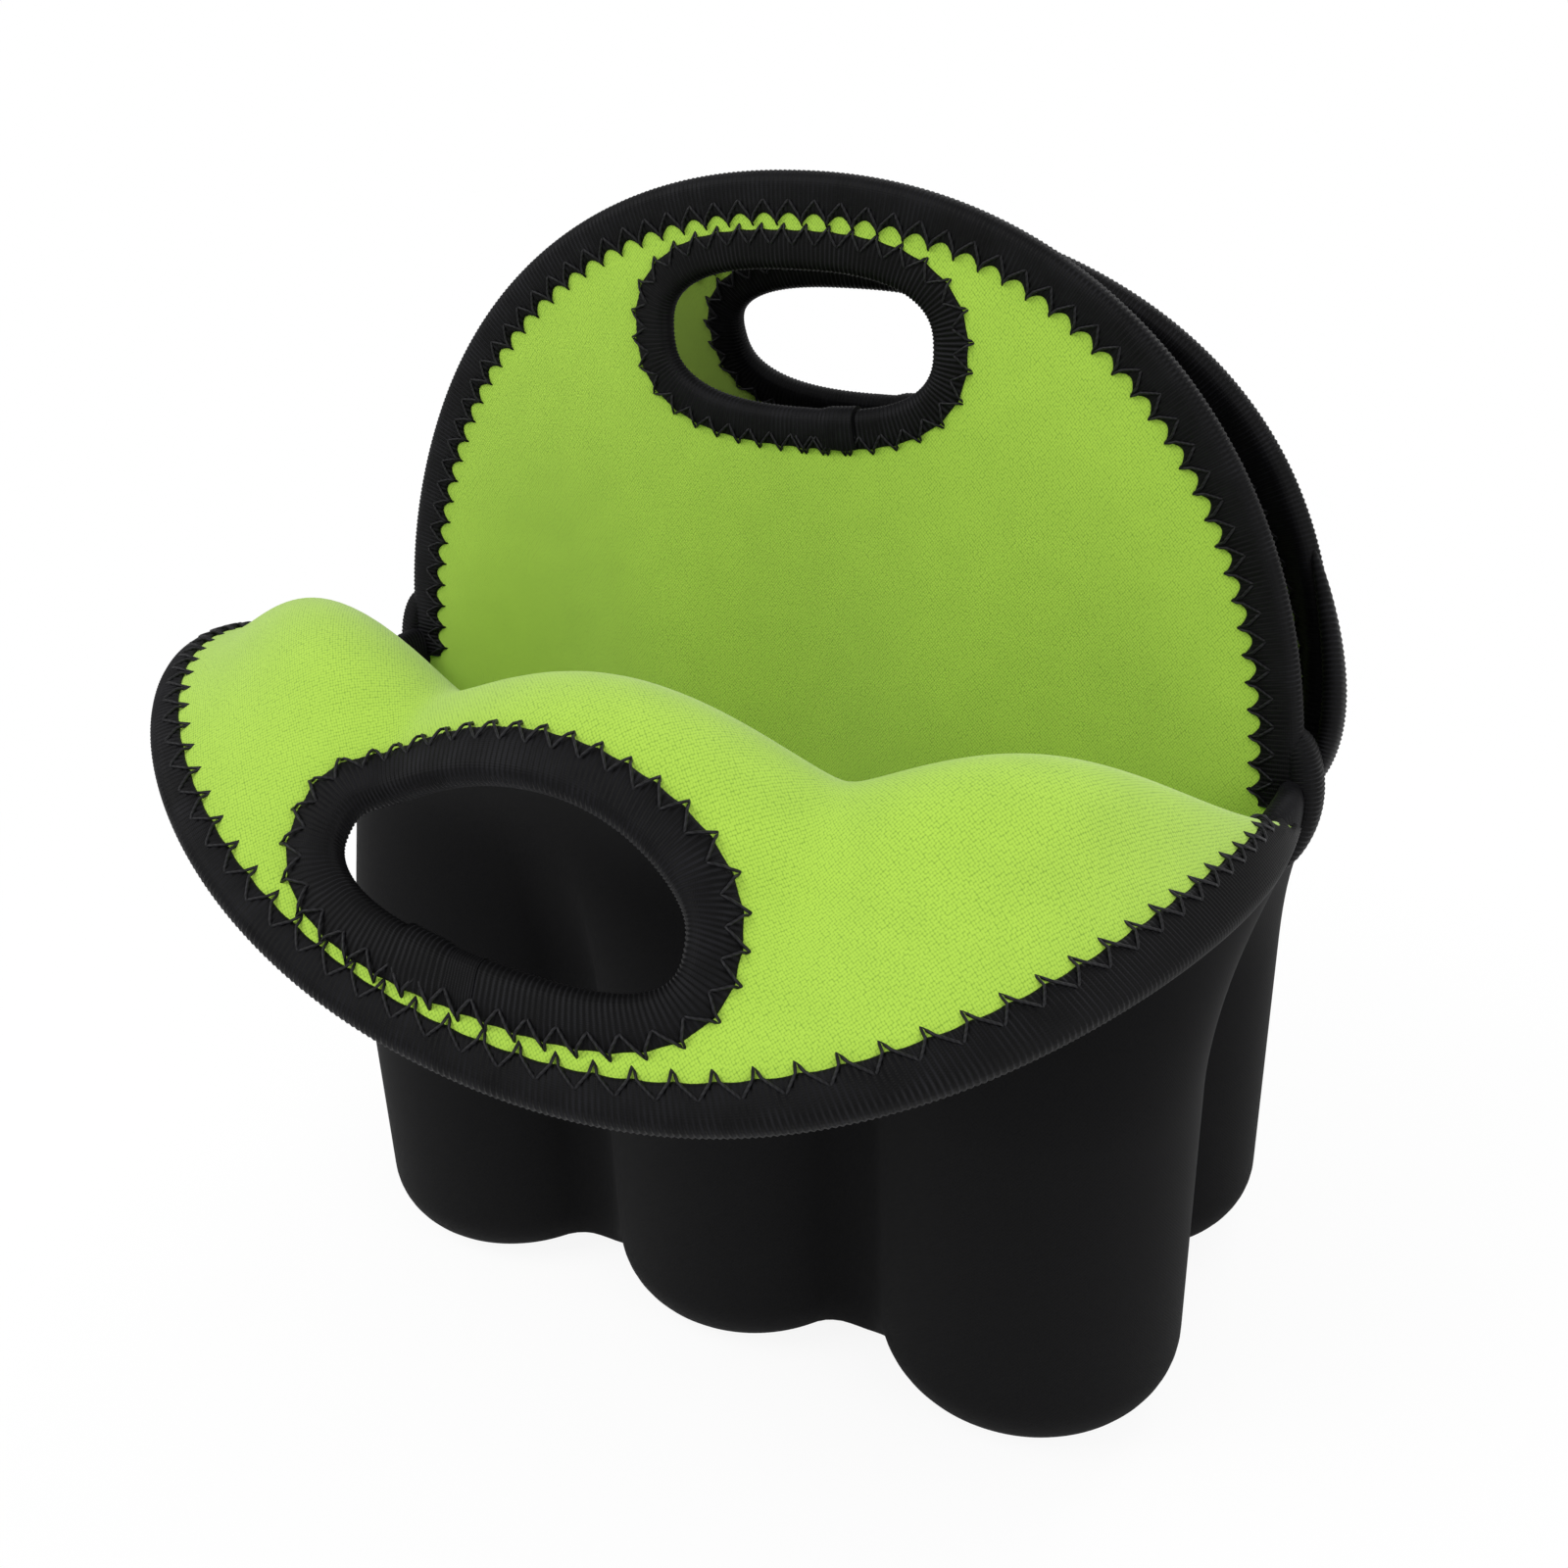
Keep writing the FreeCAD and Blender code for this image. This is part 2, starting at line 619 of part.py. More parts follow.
def make_front():
    """Builds the folded front dome: rim fold, collar, crest fold and hanging flap."""
    panel = FoldedPanel(size("front_length"))
    gap = size("fit_gap")
    skirt = lambda u: size("rim_height") + gap - panel.point(u, 0).z
    make_zone("front_rim_fold", panel, FOLD_WIDTH_SHARE, skirt, share_line(panel, RIM_FOLD_SHARE, -gap))
    collar_low = share_line(panel, RIM_FOLD_SHARE)
    collar_high = share_line(panel, COLLAR_END_SHARE, -gap)
    make_layers("front_collar", panel, FOLD_WIDTH_SHARE, collar_low, collar_high)
    fold_low = share_line(panel, COLLAR_END_SHARE)
    fold_high = share_line(panel, FLAP_START_SHARE, -gap)
    make_zone("front_crest_fold", panel, FOLD_WIDTH_SHARE, fold_low, fold_high)
    make_dome("front", "front_flap", panel, share_line(panel, FLAP_START_SHARE), FLAP_WIDTH_SHARE)
    make_tape_ends("front", panel, -1)


def make_centre():
    """Builds the standing centre dome and the soft strip that it bends at."""
    panel = Panel(size("standing_rise"))
    skirt = lambda u: size("rim_height") + size("fit_gap") - panel.corner
    fold_high = share_line(panel, STANDING_FOLD_SHARE, -size("fit_gap"))
    make_zone("centre_fold", panel, DOME_WIDTH_SHARE, skirt, fold_high)
    make_dome("centre", "centre_dome", panel, share_line(panel, STANDING_FOLD_SHARE), DOME_WIDTH_SHARE)


def make_back():
    """Builds the leaning back dome: a lower collar, a level fold across it and the flap above the fold."""
    panel = LeaningPanel(size("standing_rise"))
    gap = size("fit_gap")
    level = lambda height: lambda u: height
    fold_start = size("back_fold_height")
    fold_end = fold_start + size("back_fold_width")
    make_layers("back_collar", panel, FLAP_WIDTH_SHARE, panel.foot, level(fold_start - gap))
    make_zone("back_crest_fold", panel, FLAP_WIDTH_SHARE, level(fold_start), level(fold_end - gap))
    make_dome("back", "back_flap", panel, level(fold_end), FLAP_WIDTH_SHARE)
    make_tape_ends("back", panel, 1)


def write_parts():
    """Checks every object of the document and writes each sub-part to its own file."""
    doc.recompute()
    for item in doc.Objects:
        if "Invalid" in item.State or "Error" in item.State:
            raise RuntimeError(f"{item.Label} failed to build: {item.State}")
    os.makedirs("parts", exist_ok=True)
    for item in nodes:
        shape = item.Shape
        if shape.isNull() or not shape.isValid():
            raise RuntimeError(f"{item.Label} has no valid shape")
        shape.exportStep(os.path.join("parts", f"{item.Label}.step"))
        print(f"{item.Label}: {len(shape.Solids)} solid, {shape.Volume:.0f} mm3")


make_pockets()
make_channels()
make_divider()
make_front()
make_centre()
make_back()
write_parts()
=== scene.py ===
"""Blender scene of a soft carrier with six bottle pockets, sewn from three panels of bonded neoprene.

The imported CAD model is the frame. Its soft solids are replaced by whole cloth sheets, bound edges and
stitching, on much the same panel formulas as the CAD. Fields are in millimetres, meshes are in metres and
-Y is the front.
"""
from __future__ import annotations

import logging
import math
from dataclasses import dataclass, field
from enum import Enum
from typing import Callable

import bmesh
import bpy
import numpy as np
from mathutils import Matrix, Vector

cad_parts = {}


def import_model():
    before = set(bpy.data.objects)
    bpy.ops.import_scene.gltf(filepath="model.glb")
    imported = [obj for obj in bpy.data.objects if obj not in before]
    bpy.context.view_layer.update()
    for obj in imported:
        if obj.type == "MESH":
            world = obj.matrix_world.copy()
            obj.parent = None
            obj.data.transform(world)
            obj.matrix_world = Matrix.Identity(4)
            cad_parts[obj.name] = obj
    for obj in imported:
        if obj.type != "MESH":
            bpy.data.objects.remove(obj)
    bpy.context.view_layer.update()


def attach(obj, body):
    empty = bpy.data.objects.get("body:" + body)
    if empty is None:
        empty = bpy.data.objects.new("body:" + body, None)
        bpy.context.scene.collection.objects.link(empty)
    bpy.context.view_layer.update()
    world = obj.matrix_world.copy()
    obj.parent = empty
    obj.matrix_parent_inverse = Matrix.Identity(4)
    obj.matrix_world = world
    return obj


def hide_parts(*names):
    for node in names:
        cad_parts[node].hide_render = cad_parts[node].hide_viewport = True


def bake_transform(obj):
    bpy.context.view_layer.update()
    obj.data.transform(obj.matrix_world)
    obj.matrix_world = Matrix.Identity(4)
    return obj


Array = np.ndarray
Pair = tuple[Array, Array]
Station = tuple[Array, Array, Array, Array]
Stations = Callable[[Array], Station]
Placer = Callable[[Array, Array], Pair]
Span = tuple[float, float]
Point = tuple[float, float, float]
Route = tuple[Point, Point, Point, Point]
Mesh = bmesh.types.BMesh
Piece = bpy.types.Object
Material = bpy.types.Material
Tree = bpy.types.NodeTree
Node = bpy.types.Node
Socket = bpy.types.NodeSocket

MM = 0.001
RIB_PITCH = 1.1
RIB_HEIGHT = 0.13
RIB_STEPS = 4
TUBE_WELD = 0.002
SHEET_WELD = 0.02
WAVE_UNIT = 20.0
WHITE = (1.0, 1.0, 1.0, 1.0)
CLOTH_MAP = "cloth"
LOG = logging.getLogger("carrier")


class Body(Enum):
    """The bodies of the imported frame."""

    CARRIER = "carrier"
    FRONT_COLLAR = "front_collar"
    FRONT_FLAP = "front_flap"
    CENTRE_DOME = "centre_dome"
    BACK_FLAP = "back_flap"


class Slot(Enum):
    """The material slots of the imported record."""

    NEOPRENE = "black_knit_neoprene"
    LINING = "green_knit_lining"
    TAPE = "black_binding_tape"


class Side(Enum):
    """Left and right as signs along X."""

    LEFT = -1
    RIGHT = 1


@dataclass(frozen=True)
class Fold:
    """A stretch of cloth that bends between two bodies of the frame, from start to end."""

    below: Body
    above: Body
    start: Point
    end: Point

    def bend(self, piece: Piece) -> None:
        """Bakes a finished piece's transform into its mesh."""
        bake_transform(piece)


FRONT_RIM_FOLD = Fold(Body.CARRIER, Body.FRONT_COLLAR, (0.0, -84.6, 112.8), (0.0, -108.6, 144.8))
FRONT_CREST_FOLD = Fold(Body.FRONT_COLLAR, Body.FRONT_FLAP, (0.0, -94.0, 0.0), (0.0, -130.0, 0.0))
CENTRE_FOLD = Fold(Body.CARRIER, Body.CENTRE_DOME, (0.0, 0.0, 139.0), (0.0, 0.0, 151.0))
BACK_FOLD = Fold(Body.CARRIER, Body.BACK_FLAP, (0.0, 0.0, 172.0), (0.0, 0.0, 200.0))
FRONT_SPLIT_Y = -92.0


def held(share: Array) -> Array:
    """Returns a share held between 0 and 1."""
    return np.clip(share, 0.0, 1.0)


def smooth_step(share: Array) -> Array:
    """Returns the cubic ease of a share, held at 0 and 1 outside its span."""
    eased = held(share)
    return eased * eased * (3.0 - 2.0 * eased)


def stacked(*columns: Array) -> Array:
    """Returns points or other rows of values from their columns."""
    return np.stack(columns, axis=-1)


def signed_power(value: Array, power: float) -> Array:
    """Returns a power of the size of a value, with its sign."""
    return np.sign(value) * np.abs(value) ** power


def unit(vectors: Array) -> Array:
    """Returns vectors at length 1."""
    return vectors / np.maximum(np.linalg.norm(vectors, axis=-1, keepdims=True), 1e-12)


def run_along(points: Array) -> Array:
    """Returns the distance run along a row of points, from 0 at the first."""
    steps = np.linalg.norm(np.diff(points, axis=0), axis=1)
    return np.concatenate(([0.0], np.cumsum(steps)))


# Finishes


def linear(hex_colour: str) -> tuple[float, float, float, float]:
    """Turns an sRGB hex colour to linear.

    Args:
        hex_colour: six hex digits after a hash.

    Returns:
        Linear red, green, blue and an alpha of 1.
    """
    parts = [int(hex_colour[i : i + 2], 16) / 255.0 for i in (1, 3, 5)]
    red, green, blue = (c / 12.92 if c <= 0.04045 else ((c + 0.055) / 1.055) ** 2.4 for c in parts)
    return red, green, blue, 1.0


def add_node(tree: Tree, kind: str, settings: dict, *feeds: Socket, **links: Socket) -> Node:
    """Adds one node with its settings and links.

    Args:
        tree: the material's or world's node tree.
        kind: the node type's name after ShaderNode.
        settings: values by the name of a property or, failing that, of an input socket.
        feeds: output sockets that feed the first inputs, in order.
        links: output sockets by the name of the input socket they feed, with _ for a space.

    Returns:
        The new node.
    """
    node = tree.nodes.new(f"ShaderNode{kind}")
    for name, value in settings.items():
        if hasattr(node, name):
            setattr(node, name, value)
        else:
            node.inputs[name].default_value = value
    for socket, fed in zip(feeds, node.inputs):
        tree.links.new(socket, fed)
    for name, socket in links.items():
        tree.links.new(socket, node.inputs[name.replace("_", " ")])
    return node


def cloth_place(tree: Tree) -> Socket:
    """Returns the cloth map of a piece."""
    return add_node(tree, "UVMap", {"uv_map": CLOTH_MAP}).outputs["UV"]


def waves(tree: Tree, direction: str, pitch: float, **settings: float) -> Socket:
    """Returns bands over the cloth map that repeat at a pitch in millimetres."""
    scale = 2.0 * math.pi / (WAVE_UNIT * pitch * MM)
    shape = {"bands_direction": direction, "Scale": scale}
    shape.update((name.replace("_", " "), value) for name, value in settings.items())
    return add_node(tree, "TexWave", shape, Vector=cloth_place(tree)).outputs["Fac"]


def noise(tree: Tree, pitch: float, detail: float) -> Socket:
    """Returns noise with grains of about a pitch in millimetres."""
    place = add_node(tree, "TexCoord", {})
    settings = {"Scale": 1.0 / (pitch * MM), "Detail": detail}
    return add_node(tree, "TexNoise", settings, Vector=place.outputs["Object"]).outputs["Fac"]


def map_range(tree: Tree, value: Socket, span: Span, result: Span) -> Socket:
    """Returns a value of one span turned to another span."""
    settings = {"From Min": span[0], "From Max": span[1], "To Min": result[0], "To Max": result[1]}
    return add_node(tree, "MapRange", settings, Value=value).outputs["Result"]


def ramp(tree: Tree, share: Socket, first: str, last: str, span: Span = (0.0, 1.0)) -> Socket:
    """Returns a colour between two hex colours, by a share of a span."""
    node = add_node(tree, "ValToRGB", {}, Fac=share)
    for element, colour, position in zip(node.color_ramp.elements, (first, last), span):
        element.color = linear(colour)
        element.position = position
    return node.outputs["Color"]


def surface(tree: Tree, settings: dict, **links: Socket) -> None:
    """Adds the shader of a material and its output."""
    shader = add_node(tree, "BsdfPrincipled", settings, **links)
    add_node(tree, "OutputMaterial", {}, Surface=shader.outputs["BSDF"])


def new_material(name: str) -> tuple[Material, Tree]:
    """Returns an empty node material and its tree."""
    material = bpy.data.materials.new(name)
    material.use_nodes = True
    material.node_tree.nodes.clear()
    return material, material.node_tree


@dataclass(frozen=True)
class JerseyFinish:
    """Nylon jersey bonded to neoprene foam: a matt knit of tiny loops, with a soft nap at grazing angles."""

    name: str
    colour: str
    loop_colour: str
    loop_pitch: float = 0.5
    nap_pitch: float = 9.0
    roughness: float = 0.85
    shine: float = 0.25
    sheen: float = 0.20
    loop_depth: float = 0.10

    def build(self) -> Material:
        """Returns the material, its loops on a lattice turned 45 degrees to the panel's cloth map."""
        material, tree = new_material(self.name)
        turned = add_node(
            tree, "Mapping", {"Rotation": (0.0, 0.0, math.radians(45.0)), "Scale": (1.0, 0.8, 1.0)},
            Vector=cloth_place(tree),
        )
        loops = add_node(
            tree, "TexVoronoi",
            {"voronoi_dimensions": "2D", "Scale": 1.0 / (self.loop_pitch * MM), "Randomness": 0.3},
            Vector=turned.outputs["Vector"],
        ).outputs["Distance"]
        gap = map_range(tree, loops, (0.35, 0.75), (0.0, 0.9))
        wear_and_highlight = map_range(tree, noise(tree, self.nap_pitch, 4.0), (0.3, 0.7), (0.0, 0.1))
        share = add_node(tree, "Math", {"operation": "ADD", "use_clamp": True}, gap, wear_and_highlight)
        bump = add_node(
            tree, "Bump", {"invert": True, "Strength": 0.6, "Distance": self.loop_depth * MM}, Height=loops
        )
        surface(
            tree,
            {
                "Roughness": self.roughness, "Specular IOR Level": self.shine, "Sheen Weight": self.sheen,
                "Sheen Roughness": 0.5,
            },
            Base_Color=ramp(tree, share.outputs["Value"], self.colour, self.loop_colour),
            Normal=bump.outputs["Normal"],
        )
        return material


@dataclass(frozen=True)
class RibbedTapeFinish:
    """Woven polyester binding: satin ribs across the tape, each with a thin highlight painted into its
    colour.
    """

    name: str = "black_polyester_binding_woven"
    colour: str = "#040405"
    # painted highlight: the lighter colour on each rib's crest
    rib_highlight_colour: str = "#161619"
    thread_pitch: float = 0.35
    thread_depth: float = 0.06
    wear_and_highlight_pitch: float = 6.0
    roughness: float = 0.55

    def build(self) -> Material:
        """Returns the material. The cloth map runs along the tape, then across it."""
        material, tree = new_material(self.name)
        ribs = waves(tree, "X", RIB_PITCH, Phase_Offset=math.pi / 2)
        threads = waves(tree, "Y", self.thread_pitch, Distortion=1.0)
        # painted highlight: the lighter rib bands, broken into patches by noise
        wear_and_highlight = add_node(tree, "Math", {"operation": "MULTIPLY"}, ribs, noise(tree, self.wear_and_highlight_pitch, 3.0))
        bump = add_node(tree, "Bump", {"Strength": 0.4, "Distance": self.thread_depth * MM}, Height=threads)
        surface(
            tree, {"Roughness": self.roughness, "Specular IOR Level": 0.10, "Sheen Weight": 0.01},
            Base_Color=ramp(tree, wear_and_highlight.outputs["Value"], self.colour, self.rib_highlight_colour, (0.25, 0.65)),
            Normal=bump.outputs["Normal"],
        )
        return material


@dataclass(frozen=True)
class ThreadFinish:
    """Twisted polyester sewing thread: fine slanting plies with a faint shine."""

    name: str = "black_polyester_thread_twisted"
    colour: str = "#08080A"
    ply_colour: str = "#1A1A1D"
    ply_pitch: float = 0.7
    roughness: float = 0.5

    def build(self) -> Material:
        """Returns the material. The cloth map runs along the thread, then round it."""
        material, tree = new_material(self.name)
        colour = ramp(tree, waves(tree, "DIAGONAL", self.ply_pitch), self.colour, self.ply_colour)
        surface(tree, {"Roughness": self.roughness, "Specular IOR Level": 0.2}, Base_Color=colour)
        return material


@dataclass
class Finishes:
    """The finished materials that every piece shares."""

    black: Material
    green: Material
    tape: Material
    thread: Material

    @classmethod
    def make(cls) -> Finishes:
        """Builds each finish once."""
        return cls(
            black=JerseyFinish(
                "black_jersey_neoprene", "#0D0D0E", "#070708", shine=0.09, sheen=0.02, loop_depth=0.06
            ).build(),
            green=JerseyFinish("lime_green_jersey_neoprene", "#A2C744", "#6C9029").build(),
            tape=RibbedTapeFinish().build(),
            thread=ThreadFinish().build(),
        )


# Meshes


def lay_grid(
    columns: int, rows: int, place: Placer, drop: Callable[[Array], Array] | None = None
) -> Mesh:
    """Lays a flat grid over a surface.

    Args:
        columns: faces across the grid.
        rows: faces along the grid.
        place: gives points and cloth coordinates, in millimetres, from shares across and along and a flag
            for each vertex on the rim of an opening.
        drop: says from the shares of face middles which faces an opening takes out.

    Returns:
        The placed mesh in metres, with its cloth map.
    """
    mesh = bmesh.new()
    bmesh.ops.create_grid(mesh, x_segments=columns, y_segments=rows, size=0.5)
    if drop is not None:
        middles = np.array([face.calc_center_median()[:2] for face in mesh.faces]) + 0.5
        gone = drop(middles)
        bmesh.ops.delete(mesh, geom=[f for f, out in zip(mesh.faces[:], gone) if out], context="FACES")
    shares = np.array([vertex.co[:2] for vertex in mesh.verts]) + 0.5
    slack = 1e-4
    inner = np.all((shares > slack) & (shares < 1.0 - slack), axis=1)
    border = np.array([vertex.is_boundary for vertex in mesh.verts]) & inner
    points, cloth = place(shares, border)
    cloth_map = mesh.loops.layers.uv.new(CLOTH_MAP)
    mesh.verts.index_update()
    for face in mesh.faces:
        for loop in face.loops:
            loop[cloth_map].uv = cloth[loop.vert.index] * MM
    for vertex, point in zip(mesh.verts, points * MM):
        vertex.co = point
    return mesh


def make_piece(name: str, mesh: Mesh, *materials: Material) -> Piece:
    """Makes a smooth-shaded object of a bmesh and frees the bmesh."""
    data = bpy.data.meshes.new(name)
    mesh.to_mesh(data)
    mesh.free()
    for material in materials:
        data.materials.append(material)
    data.shade_smooth()
    piece = bpy.data.objects.new(name, data)
    bpy.context.scene.collection.objects.link(piece)
    return piece


def settle(piece: Piece) -> None:
    """Applies a piece's modifiers to its mesh."""
    graph = bpy.context.evaluated_depsgraph_get()
    shaped = piece.evaluated_get(graph)
    done = bpy.data.meshes.new_from_object(shaped, preserve_all_data_layers=True, depsgraph=graph)
    piece.modifiers.clear()
    piece.data = done


def thicken(piece: Piece, thickness: float, back_slot: int = 0) -> None:
    """Gives a sheet its thickness, half to each side of it, with a material slot for its back."""
    cloth = piece.modifiers.new("cloth", "SOLIDIFY")
    cloth.thickness = thickness * MM
    cloth.offset = 0.0
    cloth.material_offset = back_slot
    settle(piece)


def close_ends(mesh: Mesh) -> None:
    """Fills the open ends of a closed section, with a crease round each."""
    edges = [edge for edge in mesh.edges if edge.is_boundary]
    faces = bmesh.ops.holes_fill(mesh, edges=edges, sides=0)["faces"]
    for edge in edges:
        edge.smooth = False
    bmesh.ops.triangulate(mesh, faces=faces)


def close_tube(mesh: Mesh) -> None:
    """Joins a rolled-up grid along its seam, fills its ends and turns its faces outwards."""
    bmesh.ops.remove_doubles(mesh, verts=mesh.verts[:], dist=TUBE_WELD * MM)
    close_ends(mesh)
    bmesh.ops.recalc_face_normals(mesh, faces=mesh.faces[:])


def part_at(piece: Piece, name: str, level_y: float, front: bool) -> Piece:
    """Returns a copy of a closed piece that is kept on one side of a plane across Y.

    Args:
        piece: the whole piece.
        name: the new piece's name.
        level_y: the plane's Y.
        front: True to keep what lies in front of the plane.

    Returns:
        The new piece, closed at the cut.
    """
    mesh = bmesh.new()
    mesh.from_mesh(piece.data)
    bmesh.ops.bisect_plane(
        mesh, geom=mesh.verts[:] + mesh.edges[:] + mesh.faces[:], dist=1e-7,
        plane_co=(0.0, level_y * MM, 0.0), plane_no=(0.0, 1.0, 0.0), clear_outer=front, clear_inner=not front,
    )
    close_ends(mesh)
    return make_piece(name, mesh, *piece.data.materials)


# Panels


@dataclass(frozen=True)
class DomeCut:
    """The flat cut of a panel above the rim and of its hand hole: u runs across, v up from the rim."""

    rise: float
    half_width: float = 117.0
    power: float = 2.15
    hole_half_width: float = 32.5
    hole_half_height: float = 15.0
    hole_power: float = 2.6
    hole_below_edge: float = 34.0
    hole_fill: float = 0.92
    area_samples: int = 401

    def outward(self, u: Array) -> Array:
        """Returns how far out u lies, from 0 in the middle to 1 at the corners."""
        return np.minimum(np.abs(u) / self.half_width, 1.0)

    def length(self, u: Array) -> Array:
        """Returns the cut height of the dome at u."""
        return self.rise * (1.0 - self.outward(u) ** self.power) ** (1.0 / self.power)

    def edge(self, share: Array) -> Station:
        """Returns u, v and the inward direction at shares of the dome edge, -1 left to 1 right."""
        turn = math.pi / 2 * (1.0 - share)
        cosine, sine = np.cos(turn), np.maximum(np.sin(turn), 1e-9)
        u = self.half_width * signed_power(cosine, 2.0 / self.power)
        v = self.rise * sine ** (2.0 / self.power)
        slope_u = signed_power(u / self.half_width, self.power - 1.0) / self.half_width
        slope_v = (v / self.rise) ** (self.power - 1.0) / self.rise
        scale = np.hypot(slope_u, slope_v)
        return u, v, -slope_u / scale, -slope_v / scale

    def hole(self, turn: Array, grown: float) -> Station:
        """Returns u, v and the direction into the cloth at angles round the hole, grown by a distance."""
        wide, tall = self.hole_half_width + grown, self.hole_half_height + grown
        u = wide * signed_power(np.cos(turn), 2.0 / self.hole_power)
        v = tall * signed_power(np.sin(turn), 2.0 / self.hole_power)
        slope_u = signed_power(u / wide, self.hole_power - 1.0) / wide
        slope_v = signed_power(v / tall, self.hole_power - 1.0) / tall
        scale = np.hypot(slope_u, slope_v)
        return u, self.hole_middle + v, slope_u / scale, slope_v / scale

    @property
    def hole_middle(self) -> float:
        """Returns v at the middle of the carrying hole."""
        return self.rise - self.hole_below_edge

    def hole_reach(self, u: Array, v: Array, grown: float) -> Array:
        """Returns how far out u, v lies from the middle of the grown hole, 1 on its rim."""
        wide, tall = self.hole_half_width + grown, self.hole_half_height + grown
        across, along = np.abs(u) / wide, np.abs(v - self.hole_middle) / tall
        total = across**self.hole_power + along**self.hole_power
        return np.maximum(total, 1e-12) ** (1.0 / self.hole_power)

    @property
    def area(self) -> float:
        """Returns the area of the dome with its hole cut out."""
        u = np.linspace(-self.half_width, self.half_width, self.area_samples)
        hole = 4.0 * self.hole_half_width * self.hole_half_height * self.hole_fill
        return float(np.mean(self.length(u)) * 2.0 * self.half_width - hole)


@dataclass(frozen=True)
class PocketOutline:
    """The middle of the cloth round a row of pockets, from above: three lobes joined by soft valleys."""

    bottle_pitch: float = 74.0
    row_offset: float = 35.0
    lobe_radius: float = 34.0
    front_valley_depth: float = 18.7
    side_valley_depth: float = 16.0

    def fillet(self, half_distance: float, depth: float) -> tuple[float, float]:
        """Returns a valley arc's radius and how far its centre lies outside the line of lobe centres."""
        floor = self.lobe_radius - depth
        radius = (half_distance**2 + floor**2 - self.lobe_radius**2) / (2.0 * depth)
        return radius, floor + radius

    def arcs(self) -> Array:
        """Lists the arcs of the outline, from left to right.

        Returns:
            Rows of centre x, y, radius, start and end angle, 1 for a lobe or -1 for a valley, and the share
            of a valley's arc where its floor lies.
        """
        pitch, offset, lobe = self.bottle_pitch, self.row_offset, self.lobe_radius
        valley, valley_out = self.fillet(pitch / 2.0, self.front_valley_depth)
        flank, flank_out = self.fillet(offset, self.side_valley_depth)
        front = math.atan2(valley_out, pitch / 2.0)
        side = math.atan2(offset, flank_out)
        half, full = math.pi, 2.0 * math.pi
        return np.array([
            (-pitch - flank_out, 0.0, flank, 0.0, -side, -1.0, 0.0),
            (-pitch, -offset, lobe, half - side, full - front, 1.0, 0.0),
            (-pitch / 2.0, -offset - valley_out, valley, half - front, front, -1.0, 0.5),
            (0.0, -offset, lobe, half + front, full - front, 1.0, 0.0),
            (pitch / 2.0, -offset - valley_out, valley, half - front, front, -1.0, 0.5),
            (pitch, -offset, lobe, half + front, full + side, 1.0, 0.0),
            (pitch + flank_out, 0.0, flank, half + side, half, -1.0, 1.0),
        ])

    def trace(self, share: Array, inset: Array) -> tuple[Array, Array, Array]:
        """Follows the outline.

        Args:
            share: shares of its length, 0 at the left side seam and 1 at the right one.
            inset: how far the cloth is drawn in from it.

        Returns:
            x, y and how deep in a valley each point is, 0 to 1.
        """
        centre_x, centre_y, radius, start, end, lobe, floor = self.arcs().T
        lengths = radius * np.abs(end - start)
        ends = np.cumsum(lengths)
        run = held(share) * ends[-1]
        arc = np.minimum(np.searchsorted(ends, run), len(ends) - 1)
        local = (run - (ends - lengths)[arc]) / lengths[arc]
        angle = start[arc] + (end - start)[arc] * local
        drawn = radius[arc] - lobe[arc] * inset
        span = np.maximum(floor, 1.0 - floor)[arc]
        deep = np.where(lobe[arc] < 0.0, np.cos(math.pi / 2 * (local - floor[arc]) / span) ** 2, 0.0)
        return centre_x[arc] + drawn * np.cos(angle), centre_y[arc] + drawn * np.sin(angle), deep

    @property
    def length(self) -> float:
        """Returns the length of the outline from side seam to side seam."""
        arcs = self.arcs()
        return float(np.sum(arcs[:, 2] * np.abs(arcs[:, 4] - arcs[:, 3])))


